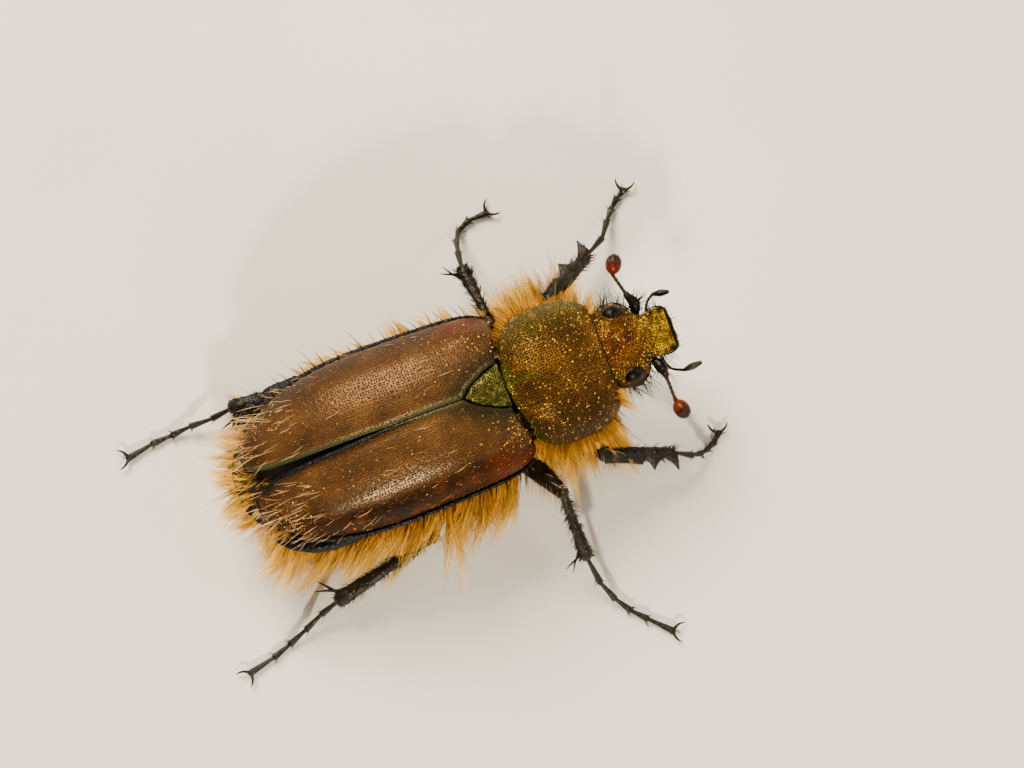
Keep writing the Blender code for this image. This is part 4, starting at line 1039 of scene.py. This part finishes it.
# Where a skin starts on its unwrap, its place along the body there, and the length that the unwrap holds.
UNWRAPS = {"body": (0.05, -1.5, 9.2), "pronotum": (0.08, -4.5, 3.4), "head": (0.1, -6.8, 3.0)}
# The side of each hair's square on the unwrap.
HAIR_PATCH = 0.003
# What the long coat has in common, and what the short down has.
LONG_COAT = {"material": GOLDEN, "per_tuft": 7, "segments": 5, "spread": 0.06, "parted": True, "wave": 0.05}
DOWN = {"material": PALE, "per_tuft": 1, "sink": 0.01}
limbs = free_limbs()


def on_skin(part, y, across):
    """The place on the unwrap of a skin that hair grows from."""
    first, front, length = UNWRAPS[part]
    return vectors(first + (y - front) / length, across)


def on_elytron(u, v):
    return vectors(0.03 + 0.94 * u, 0.03 + 0.94 * v)


def part_hair(paths, steps, start_shift):
    """Pushes hair under the limbs, so that they lie free on the coat. start_shift makes the edge of the free
    stretch ragged."""
    for start, stop in limbs:
        line = (stop - start)[:2]
        share = (paths[..., :2] - start[:2]) @ line / (line @ line)
        free = np.clip((share + start_shift) * 5, 0, 1)
        nearest = start + np.clip(share, 0, 1)[..., None] * (stop - start)
        apart = np.linalg.norm(paths[..., :2] - nearest[..., :2], axis=-1)
        excess = np.clip(paths[..., 2] - (nearest[..., 2] - 0.32), 0, None)
        paths[..., 2] -= excess * bump_at(apart, 0.42) * np.minimum(steps * 2.2, 1) * free


def strands(name, roots, away, lie, length, skin, material, per_tuft, radius, segments=4, clump=0.55,
            spread=0.12, sink=0.12, curl=0.1, slot="coat", floor=0.12, parted=False, wave=0.0, pull=None):
    """Tufts of hair as solid mesh. Each tuft leaves the skin along away and bends over to lie; its hairs draw
    together towards their tips by clump. sink is how deep they are rooted, spread how wide the tuft is, curl
    and wave how far they stray, and floor how low they may hang. skin is each tuft's place on the unwrap of
    the skin that it grows from, and pull draws its tips to the middle of its lock."""
    away, lie = unit(away), unit(lie)
    tufts = len(roots)
    count = tufts * per_tuft
    tuft = np.repeat(np.arange(tufts), per_tuft)
    steps = np.linspace(0, 1, segments + 1)
    tuft_paths = np.zeros((tufts, segments + 1, 3))
    for k in range(1, segments + 1):
        share = (k - 0.5) / segments
        tuft_paths[:, k] = tuft_paths[:, k - 1] + unit(away * (1 - share) ** 0.9 + lie * share) / segments
    own = length[tuft] * rng.uniform(0.72, 1.12, count)
    paths = tuft_paths[tuft] * own[:, None, None]
    drift = (rng.normal(0, 1, (tufts, 3))[tuft] + 0.4 * rng.normal(0, 1, (count, 3))) * curl * own[:, None]
    paths += drift[:, None] * (steps**1.6)[:, None]
    if wave:
        swing, phase = rng.normal(0, wave, (tufts, 3))[tuft] * own[:, None], rng.uniform(0, 6, tufts)[tuft]
        paths += swing[:, None] * (np.sin(steps * 7 + phase[:, None]) * steps)[..., None]
    if pull is not None:
        paths += pull[tuft][:, None] * (steps**1.3)[:, None]
    normal = away[tuft]
    offset = rng.normal(0, spread if per_tuft > 1 else 0, (count, 3))
    offset -= normal * np.sum(offset * normal, axis=1, keepdims=True)
    paths += roots[tuft][:, None] + offset[:, None] * (1 - clump * steps)[:, None]
    paths[:, 0] -= normal * sink
    if parted:
        part_hair(paths, steps, rng.uniform(-0.16, 0.1, (tufts, 1))[tuft])
    paths[..., 2] = np.maximum(paths[..., 2], floor)
    along = unit(np.gradient(paths, axis=1))
    across = unit(np.cross(along, (0.13, 0.21, 1.0)))
    over = np.cross(across, along)
    size = np.outer(radius * rng.uniform(0.75, 1.3, count), np.maximum(1 - steps**2.6, 0.08))
    turn = around(3)[:, None]
    rings = across[:, :, None] * np.cos(turn) + over[:, :, None] * np.sin(turn)
    points = paths[:, :, None] + rings * size[..., None, None]
    faces = repeated(grid_faces(segments + 1, 3, True), count, (segments + 1) * 3)[:, ::-1]
    shades = 0.4 * rng.uniform(0, 1, tufts)[tuft] + 0.6 * rng.uniform(0, 1, count)
    like = points.shape[:3]
    attributes = {
        "along": np.broadcast_to(steps[:, None], like),
        "strand": np.broadcast_to(shades[:, None, None], like),
    }
    row, column = np.divmod(np.arange(segments * 3)[:, None], 3)
    corners = vectors((column + (0, 1, 1, 0)) / 3, (row + (0, 0, 1, 1)) / segments)
    uv = corners * HAIR_PATCH + skin[tuft][:, None, None]
    piece(name, points, faces, [material], (), attributes, uv)


def locks(roots, count, share):
    """Gathers tufts in locks. Gives the number of each tuft's lock, and the way that its tips are pulled."""
    heads = roots[rng.choice(len(roots), count, replace=False)]
    own = np.argmin(np.linalg.norm(roots[:, None] - heads[None], axis=-1), axis=1)
    return own, (heads[own] - roots) * share


def flank_coat(side, sign):
    """Long golden hair along thorax and abdomen, from under the wing case, lying back and down."""
    full = side == "right"
    tufts = 900 if full else 500
    y = rng.uniform(-1.25, 5.9, tufts)
    beside = rise(y, 2.9, 0.8)
    depth = 0.06 + 0.16 * beside + rng.uniform(0, 1, tufts) ** 1.2
    root = body_point(y, -depth) * (sign, 1, 1)
    root[:, 0] += sign * 0.16 * beside * rise(y, 6.4, -0.8)
    rearward = 0.5 + 0.26 * np.clip(y, 0, 3.2)
    away = vectors(sign * np.cos(depth), 0.55 * rearward, -np.sin(depth) - 0.15)
    lock, pull = locks(root, 80, 0.75 if full else 0.4)
    sweep = 0.2 * np.sin(y * 4.1 + 1.3) + rng.normal(0, 0.2, 80)[lock] + rng.normal(0, 0.1, tufts)
    lie = vectors(sign * 0.6, rearward + 0.2 * depth + sweep, rng.normal(-0.06, 0.16, tufts) - 0.42 * depth)
    length = (2.25 if full else 0.95) * (1 - 0.3 * depth) * rng.uniform(0.5, 1.15, tufts)
    length = length * rng.uniform(0.72, 1.15, 80)[lock]
    skin = on_skin("body", y, 0.5 + sign * (0.48 - 0.3 * depth))
    name = f"coat_flank_{side}"
    strands(name, root, away, lie, length, skin, radius=0.012, curl=0.07, pull=pull, **LONG_COAT)


def rear_coat():
    """Golden hair round the abdomen's end, and shorter hair on its last segment between the wing tips."""
    tufts = 470
    angle, depth = rng.uniform(-1.35, 1.35, tufts), rng.uniform(0, 1, tufts)
    reach = 1.4 - 0.5 * depth
    root = vectors(1.28 * reach * np.sin(angle), 4.95 + reach * np.cos(angle), 2.55 - 0.7 * depth)
    away = vectors(np.sin(angle) * 0.9, np.cos(angle), -0.3 * depth)
    lock, pull = locks(root, 45, 0.7)
    yaw = rng.normal(0, 0.2, tufts) + rng.normal(0, 0.2, 45)[lock]
    lie = vectors(np.sin(angle) * 0.85 + yaw, 0.85, rng.normal(-0.1, 0.14, tufts) - 0.2 * depth)
    skin = vectors(0.85 + 0.1 * np.cos(angle), 0.5 + angle * 0.2)
    length = rng.uniform(0.9, 1.6, tufts)
    strands("coat_rear", root, away, lie, length, skin, radius=0.0115, curl=0.07, pull=pull, **LONG_COAT)
    tufts = 90
    y, angle = rng.uniform(5.2, 6.6, tufts), rng.uniform(0.5, math.pi - 0.5, tufts)
    away = vectors(np.cos(angle), 0.6, np.sin(angle))
    lie = vectors(rng.normal(0, 0.4, tufts), 1.0, rng.normal(0.0, 0.15, tufts))
    skin = on_skin("body", y, 0.5 + np.cos(angle) * 0.2)
    length = rng.uniform(0.3, 0.75, tufts)
    root = body_point(y, angle)
    strands("hair_last_segment", root, away, lie, length, skin, GOLDEN, 3, 0.009, clump=0.3, spread=0.06)


def pronotum_coat(side, sign):
    """Hair from under the pronotum's edge, which fans out from front to rear."""
    tufts = 560
    y, depth = rng.uniform(-4.1, -1.75, tufts), 0.13 + 0.87 * rng.uniform(0, 1, tufts)
    root = pronotum_ring(y, -depth * 1.1 if side == "left" else math.pi + depth * 1.1)
    fan = (y + 3.15) * 0.5
    away = vectors(sign, fan, -0.05 - 0.8 * depth)
    yaw = rng.normal(0.08, 0.28, tufts)
    lie = vectors(sign, fan + yaw, rng.normal(0.1, 0.16, tufts) - 0.5 * depth)
    skin = on_skin("pronotum", y, 0.5 + sign * (0.46 - 0.25 * depth))
    lock, pull = locks(root, 50, 0.6)
    length = rng.uniform(0.95, 1.7, tufts) * (1 - 0.25 * depth) * rng.uniform(0.8, 1.12, 50)[lock]
    name = f"coat_pronotum_{side}"
    strands(name, root, away, lie, length, skin, radius=0.01, clump=0.5, curl=0.11, pull=pull, **LONG_COAT)
    some = rng.choice(tufts, 130, replace=False)
    root, away, lie, length, skin = (part[some] for part in (root, away, lie, length, skin))
    name, lie, length = f"coat_pronotum_dark_{side}", lie + (0, 0, 0.12), length * 1.12
    strands(name, root, away, lie, length, skin, DARK, 1, 0.0075, curl=0.14, parted=True)


def under_coat():
    """Shorter hair over breast and belly, combed to the rear."""
    tufts = 1300
    y, angle = rng.uniform(-1.2, 5.8, tufts), rng.uniform(-math.pi + 0.9, -0.9, tufts)
    away = vectors(np.cos(angle), 0, np.sin(angle))
    lie = vectors(np.cos(angle) * 0.6, 1.0, -0.25)
    skin = on_skin("body", y, 0.5 + angle * 0.15)
    length = rng.uniform(0.5, 0.95, tufts)
    root = body_point(y, angle)
    strands("coat_underside", root, away, lie, length, skin, GOLDEN, 4, 0.0095, 3, clump=0.5, spread=0.09)


def elytron_hair(side, sign):
    """Sparse long tawny hair on the wing case's last quarter, a few ahead of it, and short pale down."""
    slot = "elytra_cuticle"
    near_tip, ahead = 90, 14
    count = near_tip + ahead
    u = np.concatenate([1 - rng.uniform(0, 1, near_tip) ** 1.3 * 0.25, rng.uniform(0.12, 0.74, ahead)])
    v = rng.uniform(0.02, 0.98, count)
    root, normal = elytron_point(sign, u, v), elytron_normal(sign, u, v)
    lie = vectors(sign * (v - 0.5) * 0.4 + rng.normal(0, 0.15, count), 1.0, rng.uniform(-0.25, 0.1, count))
    length = rng.uniform(0.5, 1.15, count) * np.clip((u - 0.66) * 4, 0.5, 1)
    name, away, skin = f"hair_elytron_{side}_tip", normal * 0.6 + lie, on_elytron(u, v)
    strands(name, root, away, lie, length, skin, TAWNY, 1, 0.0072, 6, sink=0.03, slot=slot)
    count = 620
    u, v = rng.uniform(0.01, 0.86, count), rng.uniform(0.02, 0.98, count)
    root, normal = elytron_point(sign, u, v), elytron_normal(sign, u, v)
    lie = vectors(rng.normal(0, 0.2, count), 1.0, 0) + normal * 0.05
    name, away, skin = f"hair_elytron_{side}_down", normal * 0.2 + lie, on_elytron(u, v)
    length = rng.uniform(0.05, 0.1, count)
    strands(name, root, away, lie, length, skin, radius=0.004, segments=2, curl=0.05, slot=slot, **DOWN)


def rim_bristles(side, sign):
    """Black bristles that stand out from the outer margin and the shoulder."""
    count = 23
    u = np.concatenate([np.linspace(0.24, 0.86, 15), np.linspace(0.02, 0.2, 8)]) + rng.normal(0, 0.008, count)
    away = vectors(sign, rng.uniform(-0.1, 0.4, count), rng.uniform(0.2, 0.45, count))
    name, root, length = f"bristles_margin_{side}", elytron_point(sign, u, 0.97), rng.uniform(0.5, 0.8, count)
    skin = vectors(u * 0.9 + 0.03, 0.93)
    lie = away + (0, 0.5, 0)
    strands(name, root, away, lie, length, skin, DARK, 1, 0.017, sink=0.02, curl=0.05, slot="elytra_cuticle")


def pronotum_down():
    """Fine pale down over the pronotum, and a fringe along its front and hind edges."""
    slot = "pronotum_cuticle"
    count = 160
    y, angle = rng.uniform(-4.4, -1.7, count), rng.uniform(0.1, math.pi - 0.1, count)
    root = pronotum_ring(y, angle)
    away = vectors(np.cos(angle), 0, np.sin(angle) + 0.3)
    lie = away * 0.4 + vectors(rng.normal(0, 0.2, count), 0.8, 0)
    skin = on_skin("pronotum", y, 0.5 + np.cos(angle) * 0.44)
    length = rng.uniform(0.08, 0.2, count)
    name = "hair_pronotum_down"
    strands(name, root, away, lie, length, skin, radius=0.0035, segments=3, curl=0.08, slot=slot, **DOWN)
    count = 110
    angle = rng.uniform(0.05, 0.75, count) * rng.choice([-1, 1], count) % math.pi
    root = pronotum_ring(PRONOTUM_FRONT_Y + 0.02, angle)
    away = vectors(np.cos(angle) * 0.7, -0.6, np.sin(angle) * 0.6)
    lie = vectors(np.cos(angle) * 0.9, rng.normal(-0.6, 0.2, count), np.sin(angle) * 0.3)
    skin = vectors(0.08, 0.5 + np.cos(angle) * 0.44)
    length = rng.uniform(0.14, 0.3, count) * (1 + 1.6 * np.abs(np.cos(angle)) ** 3)
    name = "hair_pronotum_fringe"
    strands(name, root, away, lie, length, skin, GOLDEN, 2, 0.0065, 3, sink=0.03, spread=0.06, slot=slot)
    angle = rng.uniform(0.1, 0.8, count) * rng.choice([-1, 1], count) % math.pi
    root = pronotum_ring(PRONOTUM_REAR_Y - 0.12, angle)
    away = vectors(np.cos(angle) * 0.4, 0.7, 0.5)
    lie = vectors(rng.normal(0, 0.35, count), 1.0, rng.normal(0, 0.15, count))
    skin = vectors(0.9, 0.5 + np.cos(angle) * 0.44)
    length = rng.uniform(0.25, 0.55, count)
    strands("hair_pronotum_hind", root, away, lie, length, skin, TAWNY, 1, 0.0065, sink=0.03, slot=slot)


def head_hair():
    """Dark bristles on cheeks, scapes and front, and golden fans of hair behind the eyes."""
    slot = "head_cuticle"
    roots, aways, lengths = [], [], []

    def beside_head(count, y_range, inset, z_range, forward, upward, length_range):
        """Hairs on one side of the head. forward and upward are the mean and the spread of their aim."""
        y = rng.uniform(*y_range, count)
        roots.append(vectors(sign * (head_half_width(y) * inset), y, rng.uniform(*z_range, count)))
        aways.append(vectors(sign, rng.normal(*forward, count), rng.normal(*upward, count)))
        lengths.append(rng.uniform(*length_range, count))

    for side, sign in SIDES.items():
        beside_head(70, (-5.7, -4.6), 0.97, (2.9, 3.5), (-0.35, 0.35), (0.05, 0.3), (0.3, 0.75))
        aim = unit(rng.normal(0, 1, (34, 3)) + (sign * 0.5, -0.6, 0.3))
        roots.append(np.array(ANTENNAE[side][1]) + aim * 0.12)
        aways.append(aim)
        lengths.append(rng.uniform(0.3, 0.62, 34))
        beside_head(26, (-6.4, -5.75), 0.98, (3.1, 3.4), (-0.3, 0.3), (0, 0.3), (0.2, 0.5))
    x = rng.uniform(-0.6, 0.6, 60)
    roots.append(vectors(x, -6.5, 3.1))
    aways.append(vectors(x * 0.5, -1.0, rng.normal(-0.4, 0.3, 60)))
    lengths.append(rng.uniform(0.15, 0.35, 60))
    root, away, length = np.concatenate(roots), np.concatenate(aways), np.concatenate(lengths)
    skin = on_skin("head", root[:, 1], 0.5 + root[:, 0] * 0.3)
    lie = away + (0, -0.15, 0.1)
    strands("bristles_head", root, away, lie, length, skin, DARK, 1, 0.0085, sink=0.04, curl=0.08, slot=slot)
    for side, sign in SIDES.items():
        beside_head(40, (-4.75, -4.25), 0.95, (2.7, 3.5), (-0.1, 0.6), (-0.1, 0.4), (0.3, 0.64))
        root, away, length = roots[-1], aways[-1], lengths[-1]
        skin = on_skin("head", root[:, 1], 0.5 + root[:, 0] * 0.3)
        name = f"hair_cheek_{side}"
        strands(name, root, away, away, length, skin, GOLDEN, 2, 0.0065, spread=0.05, sink=0.04, slot=slot)


def crown_down():
    """Fine pale down over the brow."""
    count, slot = 120, "head_cuticle"
    y, angle = rng.uniform(-6.2, -4.4, count), rng.uniform(0.3, math.pi - 0.3, count)
    root, away = head_point(y, angle), vectors(np.cos(angle), -0.3, np.sin(angle) + 0.3)
    lie = away + (0, -0.6, 0)
    length, skin = rng.uniform(0.08, 0.18, count), on_skin("head", y, 0.5 + np.cos(angle) * 0.4)
    strands("hair_head_down", root, away, lie, length, skin, radius=0.0035, segments=3, slot=slot, **DOWN)


# Of each kind of leg hair: how many at a site, where along it they start, the material, the shortest and the
# longest, the half width, and the hairs in a tuft.
LEG_HAIR = {
    "thigh": (70, 0.3, TAWNY, 0.3, 0.75, 0.0065, 2),
    "shin": (300, 0.08, DARK, 0.12, 0.36, 0.012, 1),
    "crown": (16, 0.6, DARK, 0.12, 0.22, 0.02, 1),
    "toe": (12, 0.6, DARK, 0.1, 0.22, 0.012, 1),
}


def leg_hair():
    """Bristles on shins and toes, and longer tawny hair on the thighs."""
    sets = {kind: [] for kind in LEG_HAIR}
    for path, radii, kind in bristle_sites:
        count, first = LEG_HAIR[kind][:2]
        at = rng.uniform(first, 0.98, count) * (len(path) - 1)
        low = np.floor(at).astype(int)
        share = (at - low)[:, None]
        centre = path[low] * (1 - share) + path[np.minimum(low + 1, len(path) - 1)] * share
        along = unit(path[-1] - path[0])
        turn = rng.uniform(0, 2 * math.pi, count)
        across = unit(np.cross(along, (0, 0, 1)))
        away = np.outer(np.cos(turn), across) + np.outer(np.sin(turn), np.cross(across, along)) * 0.8
        root = centre + away * (radii[low] * 0.8)[:, None]
        sets[kind].append((root, away, away * 0.55 + along, at / len(path), turn / 7))
    for kind, (_, _, material, shortest, longest, radius, per_tuft) in LEG_HAIR.items():
        root, away, lie, u, v = (np.concatenate(part) for part in zip(*sets[kind]))
        length, skin = rng.uniform(shortest, longest, len(root)), vectors(0.05 + 0.88 * u, 0.03 + 0.9 * v)
        strands(f"bristles_{kind}", root, away + lie, lie, length, skin, material, per_tuft, radius, 3,
                sink=0.03, spread=0.03, slot="leg_cuticle", floor=0.02)


# Pollen and stage


def make_pollen():
    """Grains of pollen that stick to pronotum, brow, wing cases and legs, some of them in twos."""
    spots = [
        pronotum_ring(rng.uniform(-4.45, -1.65, 620), rng.uniform(0.08, math.pi - 0.08, 620)),
        head_point(rng.uniform(-6.1, -4.4, 380), rng.uniform(0.3, math.pi - 0.3, 380)),
    ]
    for sign in SIDES.values():
        for count, u_range, v_range in (
            (130, (0.0, 1), (0.02, 0.97)),
            (90, (0.82, 1), (0.2, 0.8)),
            (40, (0.0, 0.12), (0.1, 0.5)),
        ):
            spots.append(elytron_point(sign, rng.uniform(*u_range, count), rng.uniform(*v_range, count)))
        spots.append(elytron_point(sign, 0.9, 0.5) + rng.normal(0, (0.14, 0.14, 0.02), (30, 3)))
    for path, radii, kind in bristle_sites:
        count = {"thigh": 12, "shin": 170, "crown": 10, "toe": 3}[kind]
        at = rng.integers(1, len(path) - 1, count)
        lift = unit(rng.normal(0, 1, (count, 3)) + (0, 0, 0.8))
        spots.append(path[at] + lift * (radii[at] * 0.85)[:, None])
    spots = np.concatenate(spots)
    joined = spots[rng.choice(len(spots), len(spots) // 3, replace=False)]
    spots = np.concatenate([spots, joined + rng.normal(0, 0.016, joined.shape) * (1, 1, 0.3)])
    count = len(spots)
    size = rng.uniform(0.007, 0.016, count) * rng.choice([1, 1, 1, 1.7], count)
    work = bmesh.new()
    bmesh.ops.create_icosphere(work, subdivisions=1, radius=1)
    ball = np.array([corner.co for corner in work.verts])
    triangles = np.array([[corner.index for corner in face.verts] for face in work.faces])
    work.free()
    lumpy = ball * rng.uniform(0.65, 1.25, (count, 1, 3)) * rng.uniform(0.85, 1.1, (count, len(ball), 1))
    points = spots[:, None] + lumpy * size[:, None, None]
    piece("pollen_grains", points, repeated(triangles, count, len(ball)), [POLLEN])


def staged(name, data):
    """Something that is there for the picture only."""
    obj = bpy.data.objects.new(name, data)
    bpy.context.scene.collection.objects.link(obj)
    return obj


def make_floor():
    half = 0.4
    corners = [(-half, -half, 0), (half, -half, 0), (half, half, 0), (-half, half, 0)]
    floor = bpy.data.meshes.new("floor")
    floor.from_pydata(corners, [], [(0, 1, 2, 3)])
    floor.materials.append(pale_floor())
    staged("floor", floor)


def make_lights():
    """Soft light from above the left side, a small low one on the right, a weak one in front, dim room."""
    for name, direction, power, size in (
        ("key", (1.0, 0.15, 1.0), 0.74, 0.08),
        ("low", (-1.0, 0.3, 0.72), 0.36, 0.012),
        ("front", (-0.2, -1.0, 0.7), 0.16, 0.08),
    ):
        light = bpy.data.lights.new(name, "AREA")
        light.color = srgb("#FFF4E2")[:3]
        light.energy = power
        light.size = size
        lamp = staged(name, light)
        lamp.location = Vector(place((0, 0, 3))) + Vector(direction).normalized() * 0.16
        lamp.rotation_euler = (-Vector(direction)).to_track_quat("-Z", "Y").to_euler()
    world = bpy.data.worlds.new("soft_room")
    world.use_nodes = True
    background = world.node_tree.nodes["Background"]
    background.inputs["Color"].default_value = srgb("#E9E4DA")
    background.inputs["Strength"].default_value = 0.22
    bpy.context.scene.world = world


def make_camera():
    """The photograph looks straight down but for a lean of five degrees, with the head to the upper right."""
    lean, lens, sensor, seen_width = math.radians(5), 150.0, 36, 29.26
    right = Vector((-0.352 * math.cos(lean), -0.936, -0.352 * math.sin(lean)))
    up = Vector((0.936 * math.cos(lean), -0.352, 0.936 * math.sin(lean)))
    back = Vector((-math.sin(lean), 0, math.cos(lean)))
    data = bpy.data.cameras.new("camera")
    data.lens = lens
    data.sensor_width = sensor
    data.clip_start = 0.002
    camera = staged("camera", data)
    pose = Matrix((right, up, back)).transposed().to_4x4()
    pose.translation = Vector(place((0.08, -1.745, 3.3))) + back * seen_width / sensor * lens * MM
    camera.matrix_world = pose
    bpy.context.scene.camera = camera


make_body()
make_prothorax()
make_head()
make_scutellum()
for side_name, side_sign in SIDES.items():
    make_elytron(side_name, side_sign)
    make_eye(side_name, side_sign)
    make_antenna(side_name)
    make_palp(side_name)
for leg_name in LEGS:
    make_leg(leg_name)
for side_name, side_sign in SIDES.items():
    flank_coat(side_name, side_sign)
    pronotum_coat(side_name, side_sign)
    elytron_hair(side_name, side_sign)
rear_coat()
under_coat()
for side_name, side_sign in SIDES.items():
    rim_bristles(side_name, side_sign)
pronotum_down()
head_hair()
crown_down()
leg_hair()
make_pollen()
make_floor()
make_lights()
make_camera()
